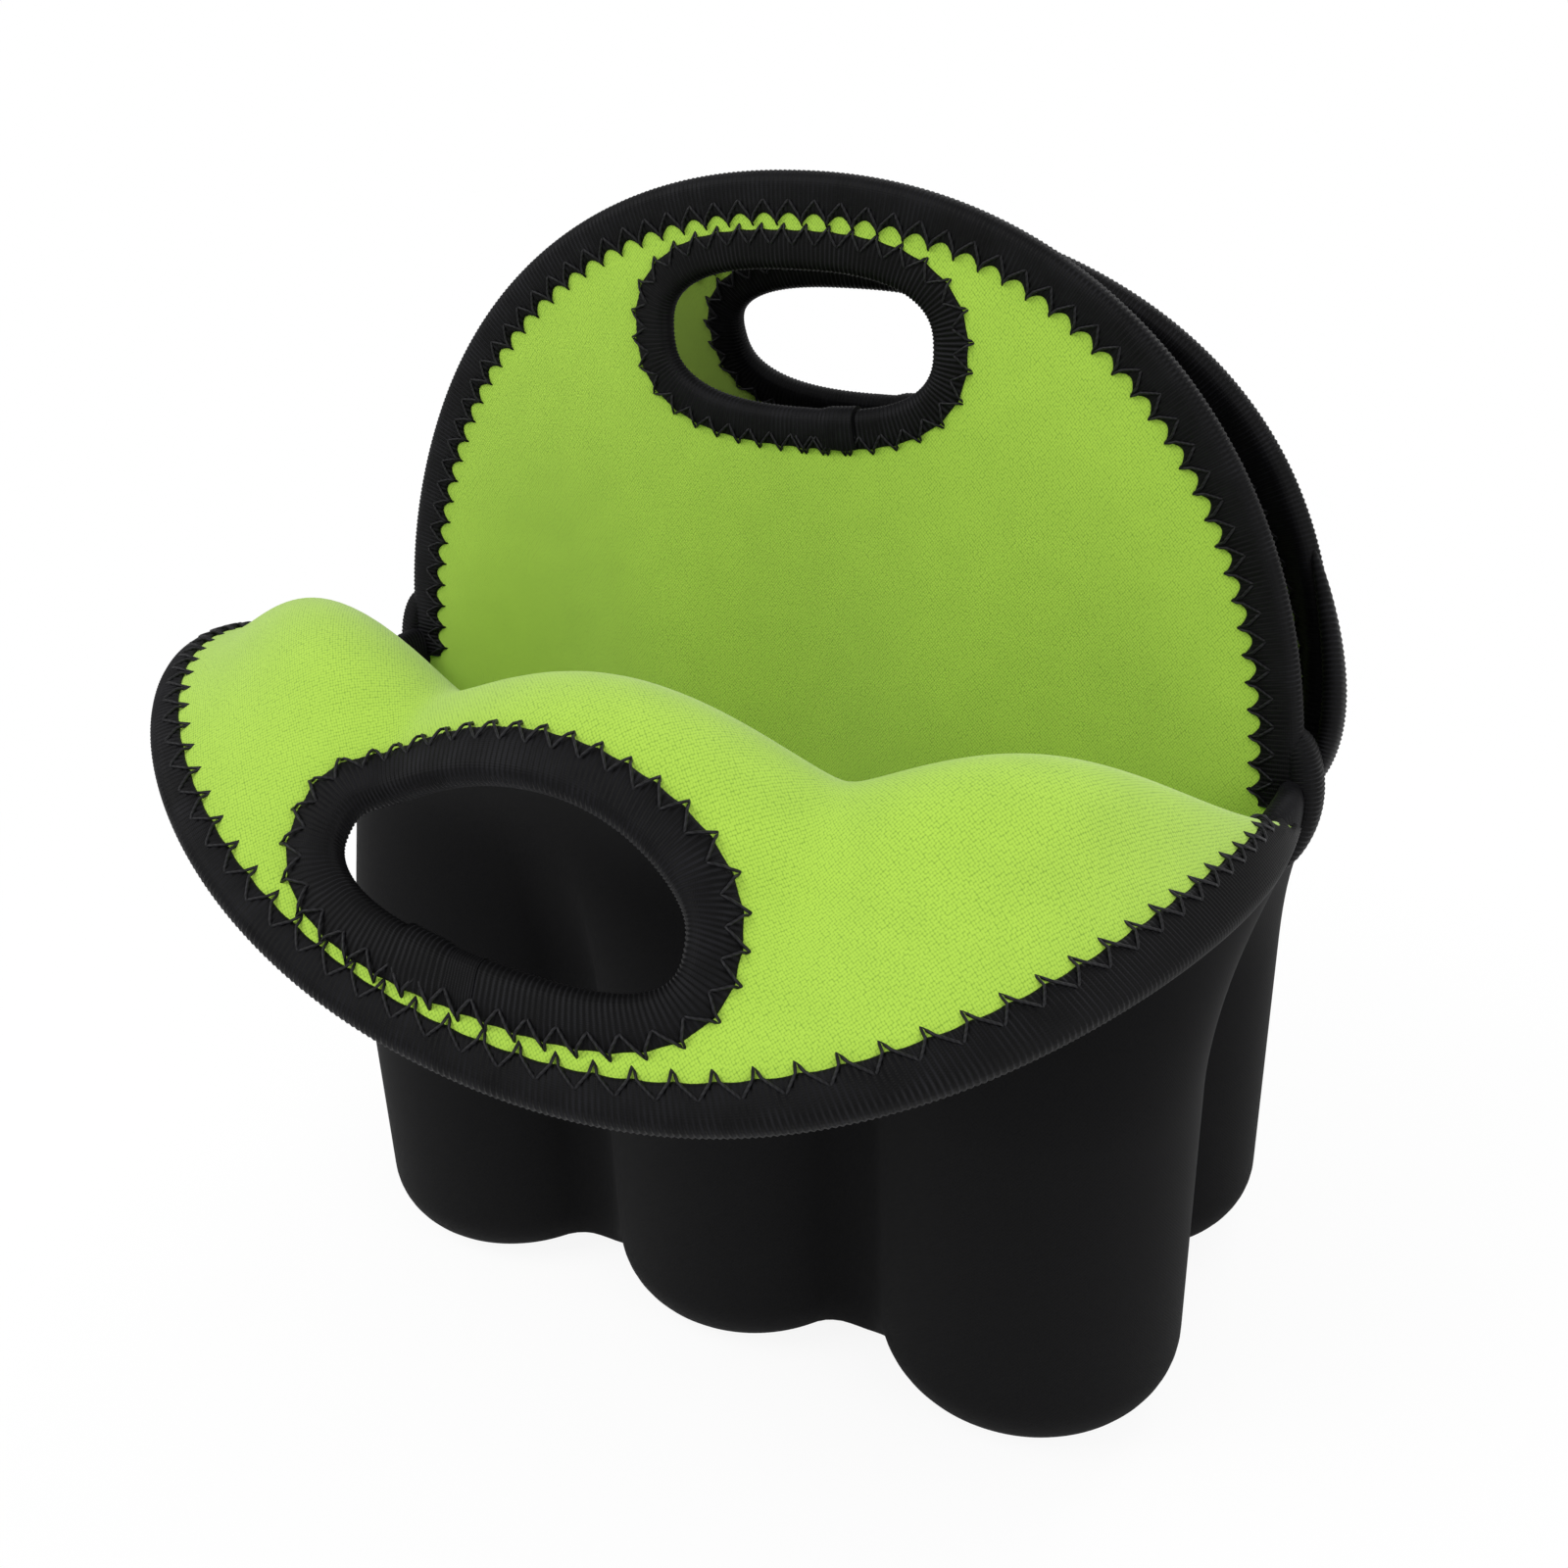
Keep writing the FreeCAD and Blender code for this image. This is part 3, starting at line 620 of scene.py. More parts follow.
@dataclass
class Panel:
    """One of the three cut panels, as the middle of its cloth."""

    name: str
    cut: DomeCut
    black_side: float = 1.0
    corner_height: float = 139.0
    thickness: float = 4.0
    columns: int = 208
    rows: int = 144
    hole_tuck: float = 3.0
    rim_share: float = 0.5

    def dome(self, u: Array, v: Array) -> Array:
        """Returns points of the dome."""
        raise NotImplementedError

    def across(self, share: Array) -> Array:
        """Returns u at shares across the sheet."""
        raise NotImplementedError

    def normal(self, u: Array, v: Array) -> Array:
        """Returns unit normals of the dome on the black side."""
        step = 0.05
        across = self.dome(u + step, v) - self.dome(u - step, v)
        along = self.dome(u, v + step) - self.dome(u, v - step)
        return unit(np.cross(along, across)) * self.black_side

    def layer(self, u: Array, v: Array, height: Array) -> Array:
        """Returns points at heights over the middle of the cloth, the black side positive."""
        return self.dome(u, v) + self.normal(u, v) * np.asarray(height)[..., None]

    def dome_place(self, shares: Array) -> Pair:
        """Returns u and v in the dome from grid shares; v is 0 below the rim."""
        u = self.across(shares[:, 0])
        return u, self.cut.length(u) * held((shares[:, 1] - self.rim_share) / (1.0 - self.rim_share))

    def place(self, shares: Array, border: Array) -> Pair:
        """Returns points and cloth coordinates of the sheet from grid shares."""
        raise NotImplementedError

    def tuck_hole(self, u: Array, v: Array, border: Array) -> Pair:
        """Moves the vertices round the cut hole onto its rim, which the tape covers."""
        scale = np.where(border, self.cut.hole_reach(u, v, self.hole_tuck), 1.0)
        return u / scale, self.cut.hole_middle + (v - self.cut.hole_middle) / scale

    def sheet(self, finishes: Finishes) -> Piece:
        """Returns the panel as one thick sheet, black on one side and green on the other."""
        mesh = lay_grid(self.columns, self.rows, self.place, self.in_hole)
        if self.black_side > 0.0:
            bmesh.ops.reverse_faces(mesh, faces=mesh.faces[:])
        bmesh.ops.remove_doubles(mesh, verts=mesh.verts[:], dist=SHEET_WELD * MM)
        piece = make_piece(f"{self.name}_sheet", mesh, finishes.black, finishes.green)
        thicken(piece, self.thickness, back_slot=1)
        return piece

    def in_hole(self, middles: Array) -> Array:
        """Says which face middles lie in the hand hole."""
        u, v = self.dome_place(middles)
        return self.cut.hole_reach(u, v, self.hole_tuck) < 1.0


@dataclass
class CentrePanel(Panel):
    """The panel between the rows: the divider below the rim and a standing dome above it."""

    foot_height: float = 6.0
    foot_inset: float = 5.0
    foot_taper: float = 14.0
    waist_half_width: float = 90.0
    waist_height: float = 85.0
    side_inset: float = 1.5
    ridge_pitch: float = 74.0
    ridge_height: float = 2.0
    ridge_fade: float = 75.0

    def dome(self, u: Array, v: Array) -> Array:
        fade = smooth_step(1.0 - np.abs(v) / self.ridge_fade)
        ridge = self.ridge_height * fade * np.cos(2.0 * math.pi * u / self.ridge_pitch)
        return stacked(u, ridge, self.corner_height + v)

    def across(self, share: Array) -> Array:
        turn = math.pi * (1.0 - share)
        return self.cut.half_width * signed_power(np.cos(turn), 2.0 / self.cut.power)

    def place(self, shares: Array, border: Array) -> Pair:
        row = shares[:, 1]
        u, v = self.tuck_hole(*self.dome_place(shares), border)
        below = (self.corner_height - self.foot_height) * (held(row / self.rim_share) - 1.0)
        height = self.corner_height + below
        rise = smooth_step((height - self.waist_height) / (self.corner_height - self.waist_height))
        half = self.waist_half_width + (self.cut.half_width - self.waist_half_width) * rise - self.side_inset
        tucked = held(1.0 - (height - self.foot_height) / self.foot_taper)
        half = half - self.foot_inset * tucked**2
        divider = self.dome(u * half / self.cut.half_width, below)
        upper = self.dome(u, v)
        is_dome = (row >= self.rim_share)[:, None]
        return np.where(is_dome, upper, divider), stacked(u, np.where(is_dome[:, 0], v, below))


@dataclass
class PocketPanel(Panel):
    """A panel whose lower half goes round a row of pockets and under them, with its dome above the rim."""

    outline: PocketOutline = field(default_factory=PocketOutline)
    row_side: float = 1.0
    rim_reach: float = 69.0
    plan_power: float = 3.0
    base_rise: float = 0.0
    foot_radius: float = 14.0
    floor_height: float = 2.0
    groove_height: float = 5.0
    groove_half: float = 76.0
    groove_start: float = 0.55
    valley_lift: float = 0.1
    valley_fill: float = 0.6
    lobe_top: float = 85.0
    lean_fade: float = 14.0
    lean_angle: float = 22.0
    cap_share: float = 0.06
    foot_share: float = 0.15
    base_power: int = 3
    plan_samples: int = 4001

    def __post_init__(self) -> None:
        turn = np.linspace(math.pi, 0.0, self.plan_samples)
        x = self.cut.half_width * signed_power(np.cos(turn), 2.0 / self.plan_power)
        y = self.rim_reach * np.abs(np.sin(turn)) ** (2.0 / self.plan_power)
        self.rim_u = x
        self.rim_run = run_along(stacked(x, y))

    @property
    def wall_drop(self) -> float:
        """Returns the length of cloth from the rim down and under to the groove."""
        return self.corner_height + self.outline.row_offset

    def plan(self, u: Array) -> Array:
        """Returns how far out the rim lies at u."""
        return self.rim_reach * (1.0 - self.cut.outward(u) ** self.plan_power) ** (1.0 / self.plan_power)

    def base(self, u: Array) -> Array:
        """Returns the rim's height at u."""
        return self.corner_height + self.base_rise * (1.0 - self.cut.outward(u) ** self.base_power)

    def lean(self, u: Array) -> Pair:
        """Returns the lean of the cloth at the rim and the direction it leans in, in radians."""
        return np.radians(self.lean_angle) * self.plan(u) / self.rim_reach, np.zeros_like(u)

    def dome(self, u: Array, v: Array) -> Array:
        angle, _ = self.lean(u)
        out = self.row_side * self.plan(u)
        return stacked(u, out - v * np.sin(angle), self.base(u) + v * np.cos(angle))

    def across(self, share: Array) -> Array:
        return np.interp(share * self.rim_run[-1], self.rim_run, self.rim_u)

    def wall(self, share: Array, climb: Array) -> Pair:
        """Returns points of the pocket wall and how far they lie below the rim."""
        u = self.across(share)
        x, y, _ = self.outline.trace(share, np.zeros_like(share))
        foot = self.floor_height + self.foot_radius
        height = foot + (self.base(u) - foot) * climb
        below = self.base(u) - height
        angle, heading = self.lean(u)
        fade = held(1.0 - below / self.lean_fade)
        back = np.tan(angle) * self.lean_fade / 2.0 * (1.0 - fade**2)
        rim_x = u - back * np.sin(heading)
        rim_y = self.row_side * self.plan(u) + back * np.cos(heading)
        rise = smooth_step((height - self.lobe_top) / (self.base(u) - self.lobe_top))
        y = -self.row_side * y
        return stacked(x + (rim_x - x) * rise, y + (rim_y - y) * rise, height), below

    def foot(self, share: Array, turn: Array) -> Array:
        """Returns points of the rounded feet, from turn 0 at the wall to a right angle at the floor."""
        _, _, deep = self.outline.trace(share, np.zeros_like(share))
        inset = self.foot_radius * (1.0 - np.cos(turn)) * (1.0 - self.valley_fill * deep)
        x, y, _ = self.outline.trace(share, inset)
        drop = self.foot_radius * np.sin(turn) * (1.0 - self.valley_lift * deep)
        return stacked(x, -self.row_side * y, self.floor_height + self.foot_radius - drop)

    def cap(self, share: Array, reach: Array) -> Array:
        """Returns points of the pocket floors, from the foot in to the groove under the centre panel."""
        edge = self.foot(share, np.full_like(share, math.pi / 2))
        lift = smooth_step((reach - self.groove_start) / (1.0 - self.groove_start))
        height = edge[:, 2] + (self.groove_height - edge[:, 2]) * lift
        groove_x = (2.0 * share - 1.0) * self.groove_half
        x = edge[:, 0] + (groove_x - edge[:, 0]) * reach
        return stacked(x, edge[:, 1] * (1.0 - reach), height)

    def place(self, shares: Array, border: Array) -> Pair:
        share, row = shares.T
        u, v = self.tuck_hole(*self.dome_place(shares), border)
        climb = held((row - self.foot_share) / (self.rim_share - self.foot_share))
        wall, below = self.wall(share, climb)
        turned = held((self.foot_share - row) / (self.foot_share - self.cap_share)) * math.pi / 2
        reach = held(1.0 - row / self.cap_share)
        points = self.cap(share, reach)
        points = np.where((row >= self.cap_share)[:, None], self.foot(share, turned), points)
        points = np.where((row >= self.foot_share)[:, None], wall, points)
        points = np.where((row >= self.rim_share)[:, None], self.dome(u, v), points)
        across = share * self.rim_run[-1]
        along = v - below - self.foot_radius * turned - self.outline.row_offset * reach
        return points, stacked(across, along)


@dataclass
class FoldedPanel(PocketPanel):
    """The front panel: its dome leans out over the pockets, turns over a wavy crest and hangs."""

    black_side: float = -1.0
    row_side: float = -1.0
    base_rise: float = 8.0
    lean_fade: float = 25.0
    start_angle: float = 34.0
    start_twist: float = 4.5
    start_spread: float = -25.0
    end_angle: float = 141.0
    end_twist: float = 15.5
    end_spread: float = -49.0
    side_angle: float = 11.5
    side_fan: float = 5.5
    crest_share: float = 0.47
    crest_shift_share: float = -0.034
    bend_share: float = 0.40
    wave_top: float = 1.5
    wave_depth: float = 12.5
    wave_softness: float = 0.15
    wave_length: float = 80.0
    wave_shift: float = 10.0
    left_drop: float = 4.0
    left_drop_start: float = 0.35
    left_drop_span: float = 0.4
    corner_power: int = 6
    wave_rise_share: float = 0.35
    wave_fade_share: float = 0.50
    curve_steps: int = 24

    def lean(self, u: Array) -> Pair:
        share = np.clip(u / self.cut.half_width, -1.0, 1.0)
        angle = self.start_angle + self.start_twist * share + self.start_spread * share**2
        return np.radians(angle), np.radians(self.side_angle + self.side_fan * share)

    def dome(self, u: Array, v: Array) -> Array:
        share = np.clip(u / self.cut.half_width, -1.0, 1.0)
        length = np.maximum(self.cut.length(u), 1e-3)
        start, heading = self.lean(u)
        end = np.radians(self.end_angle + self.end_twist * share + self.end_spread * share**2)
        middle = self.crest_share + self.crest_shift_share * share
        run = np.maximum(v, 0.0)
        forward, upward = np.zeros_like(run), np.minimum(v, 0.0)
        for step in range(self.curve_steps):
            reach = run * (step + 0.5) / self.curve_steps
            angle = start + (end - start) * smooth_step((reach / length - middle) / self.bend_share + 0.5)
            forward = forward + np.sin(angle) * run / self.curve_steps
            upward = upward + np.cos(angle) * run / self.curve_steps
        soft = self.wave_softness
        arch = np.hypot(np.cos(math.pi * (u - self.wave_shift) / self.wave_length), soft) - soft
        wave = self.wave_top - self.wave_depth * (1.0 - arch / (math.hypot(1.0, soft) - soft))
        wave = wave - self.left_drop * smooth_step((-share - self.left_drop_start) / self.left_drop_span)
        wave = wave * smooth_step((1.0 - run / length) / self.wave_fade_share)
        wave = wave * (1.0 - share**self.corner_power) * smooth_step(run / length / self.wave_rise_share)
        x = u + forward * np.sin(heading)
        y = self.row_side * self.plan(u) - forward * np.cos(heading)
        return stacked(x, y, self.base(u) + upward + wave)


# Bindings and stitching


@dataclass
class Binding:
    """A woven tape folded over a cut edge, ribbed across, with zigzag stitching along its inner edges."""

    name: str
    panel: Panel
    stations: Stations
    tape_width: float = 7.2
    nose_radius: float = 2.75
    nose_middle: float = 1.5
    stitch_pitch: float = 7.0
    stitch_inside: float = 3.0
    stitch_outside: float = 2.4
    stitch_shares: tuple[float, float, float] = (5.0 / 14.0, 6.0 / 14.0, 8.0 / 14.0)
    stitch_steps: int = 14
    section_rows: int = 21
    fold_steps: int = 9
    thread_radius: float = 0.30
    thread_sides: int = 6
    thread_lift: float = 0.12
    tape_lift: float = 0.05
    tip_length: float = 0.3
    tip_sink: float = 1.5
    scallop: float = 0.3
    inset_steps: int = 12
    least_stretch: float = 0.5
    askew: float = 0.0
    end_spread: float = 0.0
    spread_share: float = 0.25
    least_width: float = 3.0
    overlap_share: float = 0.0
    overlap_lift: float = 0.7
    climb_share: float = 0.02
    table_steps: int = 4000

    def __post_init__(self) -> None:
        self.table_share = np.linspace(0.0, 1.0, self.table_steps + 1)
        u, v, du, dv = self.stations(self.table_share)
        middle = self.tape_width / 2.0
        self.table_run = run_along(self.panel.dome(u + middle * du, v + middle * dv))
        self.stitch_count = max(2, round(self.length / self.stitch_pitch))
        self.rib_count = max(8, round(self.length / RIB_PITCH))

    @property
    def length(self) -> float:
        """Returns the tape's length along its middle."""
        return float(self.table_run[-1])

    def at(self, share: Array) -> Station:
        """Returns stations at shares of the tape's real length."""
        return self.stations(np.interp(share * self.length, self.table_run, self.table_share))

    def inset(self, share: Array, depth: Array) -> Pair:
        """Returns u and v at real depths into the cloth, where the sheet is bent sharply too."""
        u, v, du, dv = self.at(share)
        reach, step = 0.01, depth / self.inset_steps
        for _ in range(self.inset_steps):
            ahead = self.panel.dome(u + reach * du, v + reach * dv) - self.panel.dome(u, v)
            stretch = np.maximum(np.linalg.norm(ahead, axis=-1) / reach, self.least_stretch)
            u, v = u + du * step / stretch, v + dv * step / stretch
        return u, v

    def width(self, share: Array, face: Array | float) -> Array:
        """Returns the tape's width on the black face, 1, or the green one, -1, as it lies askew."""
        spread = smooth_step((share - (1.0 - self.spread_share)) / self.spread_share)
        skew = self.askew * (2.0 * share - 1.0) + self.end_spread * spread
        return np.maximum(self.tape_width - face * skew, self.least_width)

    def section(self, turn: Array) -> tuple[Array, Array, Array, Array, Array]:
        """Follows the folded tape's section.

        Args:
            turn: shares round it, from the inner edge on the black side, over the fold, to the inner edge on
                the green side and back through the cloth.

        Returns:
            Depth into the cloth, height over its middle, the outward direction in both, and how much the
            ribs show.
        """
        half = self.panel.thickness / 2.0
        wide, nose, middle = self.tape_width, self.nose_radius, self.nose_middle
        angles = np.linspace(math.pi / 2, math.pi * 3 / 2, self.fold_steps)
        # Across a flange, from its turned-in inner edge to the fold
        flange = np.array([wide, wide - 0.25, wide - 0.8, wide * 0.62, wide * 0.40])
        level = np.array([half - 0.1, half + 0.42, half + 0.62, nose + 0.06, nose + 0.04])
        show = np.array([0.0, 0.6, 1.0, 1.0, 1.0])
        fold = middle + nose * np.cos(angles)
        depth = np.concatenate([flange, fold, flange[::-1], [wide * 0.5, wide * 0.5]])
        height = np.concatenate([level, nose * np.sin(angles), -level[::-1], [-half * 0.6, half * 0.6]])
        out_depth = np.concatenate([flange * 0.0, np.cos(angles), flange * 0.0, [0.0, 0.0]])
        out_height = np.concatenate([flange * 0.0 + 1.0, np.sin(angles), flange * 0.0 - 1.0, [0.0, 0.0]])
        ribs = np.concatenate([show, angles * 0.0 + 1.0, show[::-1], [0.0, 0.0]])
        spots = np.linspace(0.0, 1.0, len(depth) + 1)
        rows = (np.append(values, values[0]) for values in (depth, height, out_depth, out_height, ribs))
        return tuple(np.interp(turn, spots, values) for values in rows)

    def overlaps(self, share: Array) -> Array:
        """Returns how far the tape has climbed onto its own start, 0 to 1."""
        return smooth_step((share - 1.0 + self.overlap_share) / self.climb_share)

    def place_tape(self, shares: Array, _: Array) -> Pair:
        """Returns points and cloth coordinates of the tape from grid shares."""
        share = shares[:, 0]
        depth, height, out_depth, out_height, show = self.section(shares[:, 1])
        rib = RIB_HEIGHT * show * np.cos(2.0 * math.pi * self.rib_count * share)
        over = self.overlap_lift * self.overlaps(share)
        tooth = 1.0 - np.abs(np.sin(math.pi * (self.stitch_count * share - self.stitch_shares[1])))
        pull = self.scallop * tooth * smooth_step((depth / self.tape_width - 0.5) / 0.5)
        flange = np.maximum(depth - self.nose_middle, 0.0) / (self.tape_width - self.nose_middle)
        shift = flange * (self.width(share, np.sign(height)) - self.tape_width)
        u, v = self.inset(share, depth + shift + out_depth * (rib + over) + pull)
        points = self.panel.layer(u, v, height + out_height * (rib + over))
        return points, stacked(share * self.rib_count * RIB_PITCH, depth + height)

    def tape(self, finishes: Finishes) -> Piece:
        """Returns the tape as a closed, ribbed band."""
        mesh = lay_grid(self.rib_count * RIB_STEPS, self.section_rows, self.place_tape)
        close_tube(mesh)
        return make_piece(f"{self.name}_tape", mesh, finishes.tape)

    def thread_path(self, share: Array, face: float) -> Pair:
        """Returns points of the zigzag thread on one face of the cloth, and the cloth's normal there."""
        phase = np.mod(share * self.stitch_count, 1.0)
        inside, outside = -self.stitch_inside, self.stitch_outside
        reach = np.interp(phase, (0.0, *self.stitch_shares, 1.0), (inside, 0.0, outside, 0.0, inside))
        half = self.panel.thickness / 2.0
        on_tape = smooth_step(0.5 - (reach - self.scallop))
        height = half + self.thread_lift + (self.nose_radius + self.tape_lift - half) * on_tape
        tip = smooth_step(1.0 - np.minimum(outside - reach, reach - inside) / self.tip_length)
        u, v = self.inset(share, self.width(share, face) + reach)
        height = height - self.tip_sink * self.thread_radius * tip
        return self.panel.layer(u, v, face * height), self.panel.normal(u, v)

    def place_thread(self, face: float) -> Placer:
        """Returns the placer of one face's thread as a round tube."""

        def place(shares: Array, _: Array) -> Pair:
            middle, up = self.thread_path(shares[:, 0], face)
            step = 0.25 / (self.stitch_steps * self.stitch_count)
            ahead, _ = self.thread_path(held(shares[:, 0] + step), face)
            behind, _ = self.thread_path(held(shares[:, 0] - step), face)
            along = unit(ahead - behind)
            across = unit(np.cross(along, up))
            over = np.cross(across, along)
            turn = (2.0 * math.pi * shares[:, 1])[:, None]
            points = middle + self.thread_radius * (np.cos(turn) * across + np.sin(turn) * over)
            return points, stacked(shares[:, 0] * self.length * 2.0, shares[:, 1] * 2.0)

        return place

    def stitching(self, finishes: Finishes) -> Piece:
        """Returns the zigzag threads of both faces as one piece."""
        threads = bmesh.new()
        for face in (-1.0, 1.0):
            columns = self.stitch_count * self.stitch_steps
            mesh = lay_grid(columns, self.thread_sides, self.place_thread(face))
            close_tube(mesh)
            data = bpy.data.meshes.new("thread")
            mesh.to_mesh(data)
            mesh.free()
            threads.from_mesh(data)
            bpy.data.meshes.remove(data)
        return make_piece(f"{self.name}_stitching", threads, finishes.thread)


EDGE_END_SHARE = 0.985
HANDLE_OVERLAP_SHARE = 0.05
HANDLE_GROWTH = 1.2


def edge_binding(panel: Panel, **sizes: float) -> Binding:
    """Returns the tape over a dome's edge, from corner to corner."""
    return Binding(
        name=f"{panel.name}_edge", panel=panel,
        stations=lambda share: panel.cut.edge(EDGE_END_SHARE * (2.0 * share - 1.0)), **sizes,
    )


def drawn_edge_binding(panel: Panel, **sizes: float) -> Binding:
    """Returns the tape over a standing dome's edge, which the stitches draw out to a tooth each."""
    return edge_binding(panel, stitch_pitch=6.2, stitch_outside=2.6, scallop=2.2, **sizes)


def handle_binding(panel: Panel, join: float, **sizes: float) -> Binding:
    """Returns the tape round a hand hole, whose end overlaps its start at a join angle round the hole."""
    turns = 1.0 / (1.0 - HANDLE_OVERLAP_SHARE)
    return Binding(
        name=f"{panel.name}_handle", panel=panel, stitch_pitch=5.3, stitch_outside=1.5,
        stations=lambda share: panel.cut.hole(join + 2.0 * math.pi * turns * share, HANDLE_GROWTH),
        overlap_share=HANDLE_OVERLAP_SHARE, **sizes,
    )


def hang_binding(binding: Binding, fold: Fold, finishes: Finishes, *nodes: str) -> None:
    """Builds a tape and its stitching in place of CAD nodes, and bakes both pieces' transforms."""
    tape, thread = binding.tape(finishes), binding.stitching(finishes)
    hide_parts(*nodes)
    for piece in (tape, thread):
        fold.bend(piece)


# Side seams and corners


@dataclass(frozen=True)
class TapeRoll:
    """A stretch of tape rolled up along a curved route, with ribs across it and rounded ends."""

    name: str
    route: Route
    half_width: float
    half_thickness: float
    rows: int = 24
    end_power: float = 5.0
    section_power: float = 2.6
    length_samples: int = 65

    def curve(self, share: Array) -> Pair:
        """Returns points of the route, a cubic curve over its four points, and its direction."""
        first, second, third, last = (np.array(point) for point in self.route)
        t = share[:, None]
        r = 1.0 - t
        points = r**3 * first + 3.0 * r * r * t * second + 3.0 * r * t * t * third + t**3 * last
        ahead = r * r * (second - first) + 2.0 * r * t * (third - second) + t * t * (last - third)
        return points, unit(ahead)

    @property
    def length(self) -> float:
        """Returns the length of the route."""
        points, _ = self.curve(np.linspace(0.0, 1.0, self.length_samples))
        return float(run_along(points)[-1])

    def place(self, shares: Array, _: Array) -> Pair:
        """Returns points and cloth coordinates of the roll from grid shares."""
        middle, ahead = self.curve(shares[:, 0])
        outward = np.zeros_like(middle)
        outward[:, 0] = np.sign(middle[:, 0])
        across = unit(np.cross(ahead, outward))
        over = np.cross(across, ahead)
        turn = 2.0 * math.pi * shares[:, 1]
        taper = (1.0 - np.abs(2.0 * shares[:, 0] - 1.0) ** self.end_power) ** 0.5
        rib = RIB_HEIGHT * np.cos(2.0 * math.pi * shares[:, 0] * self.length / RIB_PITCH)
        wide = (self.half_width + rib) * taper * signed_power(np.cos(turn), 2.0 / self.section_power)
        tall = (self.half_thickness + rib) * taper * signed_power(np.sin(turn), 2.0 / self.section_power)
        points = middle + wide[:, None] * across + tall[:, None] * over
        return points, stacked(shares[:, 0] * self.length, shares[:, 1] * 4.0 * self.half_width)

    def build(self, finishes: Finishes) -> Piece:
        """Returns the roll as a closed piece."""
        columns = max(8, round(self.length / RIB_PITCH)) * RIB_STEPS
        mesh = lay_grid(columns, self.rows, self.place)
        bmesh.ops.remove_doubles(mesh, verts=mesh.verts[:], dist=TUBE_WELD * MM)
        bmesh.ops.recalc_face_normals(mesh, faces=mesh.faces[:])
        return make_piece(self.name, mesh, finishes.tape)


@dataclass(frozen=True)
class SideSeam:
    """The bead of tape over the three panels' seam on one side, and the tape ends that meet above it."""

    side: Side
    seam: Route = ((93.0, 0.0, 14.0), (93.5, 0.0, 70.0), (94.0, 0.0, 92.0), (116.0, 0.0, 134.0))
    wrap: Route = ((115.0, 0.0, 160.0), (119.0, -1.0, 151.0), (123.0, -2.0, 142.0), (112.5, -2.0, 126.0))
    ear: Route = ((115.0, 2.0, 142.0), (124.5, 8.0, 151.0), (121.5, 15.0, 167.0), (109.5, 29.0, 190.0))
    lap: Route = ((114.5, 3.0, 142.5), (117.5, -5.0, 144.5), (117.5, -13.0, 144.5), (114.0, -24.0, 141.5))

    def roll(self, finishes: Finishes, part: str, route: Route, **sizes: float) -> Piece:
        """Returns one stretch of tape on this side, held by the carrier."""
        mirrored = tuple((self.side.value * x, y, z) for x, y, z in route)
        piece = TapeRoll(f"{self.side.name.lower()}_{part}", mirrored, **sizes).build(finishes)
        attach(piece, Body.CARRIER.value)
        return piece

    def build(self, finishes: Finishes) -> None:
        """Builds the seam and its three folded tape ends."""
        bead = self.roll(finishes, "seam_bead", self.seam, half_width=2.6, half_thickness=1.6)
        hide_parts(f"{self.side.name.lower()}_side_seam")
        self.roll(finishes, "corner_wrap", self.wrap, half_width=4.4, half_thickness=3.4)
        self.roll(finishes, "corner_ear", self.ear, half_width=4.6, half_thickness=2.4, end_power=2.0)
        self.roll(finishes, "corner_lap", self.lap, half_width=6.2, half_thickness=3.0)


# Sub-assemblies


POCKETS = ("left", "middle", "right")


def pocket_nodes(row: str) -> list[str]:
    """Returns the CAD nodes of a row of pockets below the rim."""
    return [f"{row}_{pocket}_pocket_{part}" for pocket in POCKETS for part in ("wall", "lining")]


def layers(label: str) -> list[str]:
    """Returns the CAD nodes of one zone of a panel."""
    return [f"{label}_panel", f"{label}_lining"]


@dataclass(frozen=True)
class Partition:
    """A cloth web between neighbouring pockets, sewn to the centre panel and the outer sheet's valley."""

    row: str
    row_side: float
    side: Side
    place_x: float = 37.0
    near: float = 1.0
    far: float = 49.0
    foot_height: float = 8.0
    near_top: float = 118.0
    far_top: float = 90.0
    top_sag: float = 5.0
    thickness: float = 3.0
    columns: int = 24
    rows: int = 48

    def place(self, shares: Array, _: Array) -> Pair:
        """Returns points and cloth coordinates of the web from grid shares."""
        out = self.near + (self.far - self.near) * shares[:, 0]
        top = self.near_top + (self.far_top - self.near_top) * shares[:, 0]
        top = top - self.top_sag * np.sin(math.pi * shares[:, 0])
        height = self.foot_height + (top - self.foot_height) * shares[:, 1]
        x = np.full_like(out, self.side.value * self.place_x)
        return stacked(x, self.row_side * out, height), stacked(out, height)

    def build(self, finishes: Finishes) -> None:
        """Builds the web as one thick sheet, green on both sides."""
        label = self.side.name.lower()
        mesh = lay_grid(self.columns, self.rows, self.place)
        piece = make_piece(f"{self.row}_{label}_partition", mesh, finishes.green)
        thicken(piece, self.thickness)
        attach(piece, Body.CARRIER.value)
        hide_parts(f"{self.row}_{label}_channel_seam")


def part_front(whole: Piece, body_name: str, flap_name: str) -> tuple[Piece, Piece]:
    """Parts a front piece near the crest and bakes the two parts' transforms.

    Args:
        whole: the whole piece, which is taken away.
        body_name: the name of the part behind the cut.
        flap_name: the name of the part in front of it.

    Returns:
        The two parts.
    """
    body = part_at(whole, body_name, FRONT_SPLIT_Y, front=False)
    flap = part_at(whole, flap_name, FRONT_SPLIT_Y, front=True)
    bpy.data.objects.remove(whole)
    FRONT_RIM_FOLD.bend(body)
    FRONT_CREST_FOLD.bend(flap)
    return body, flap


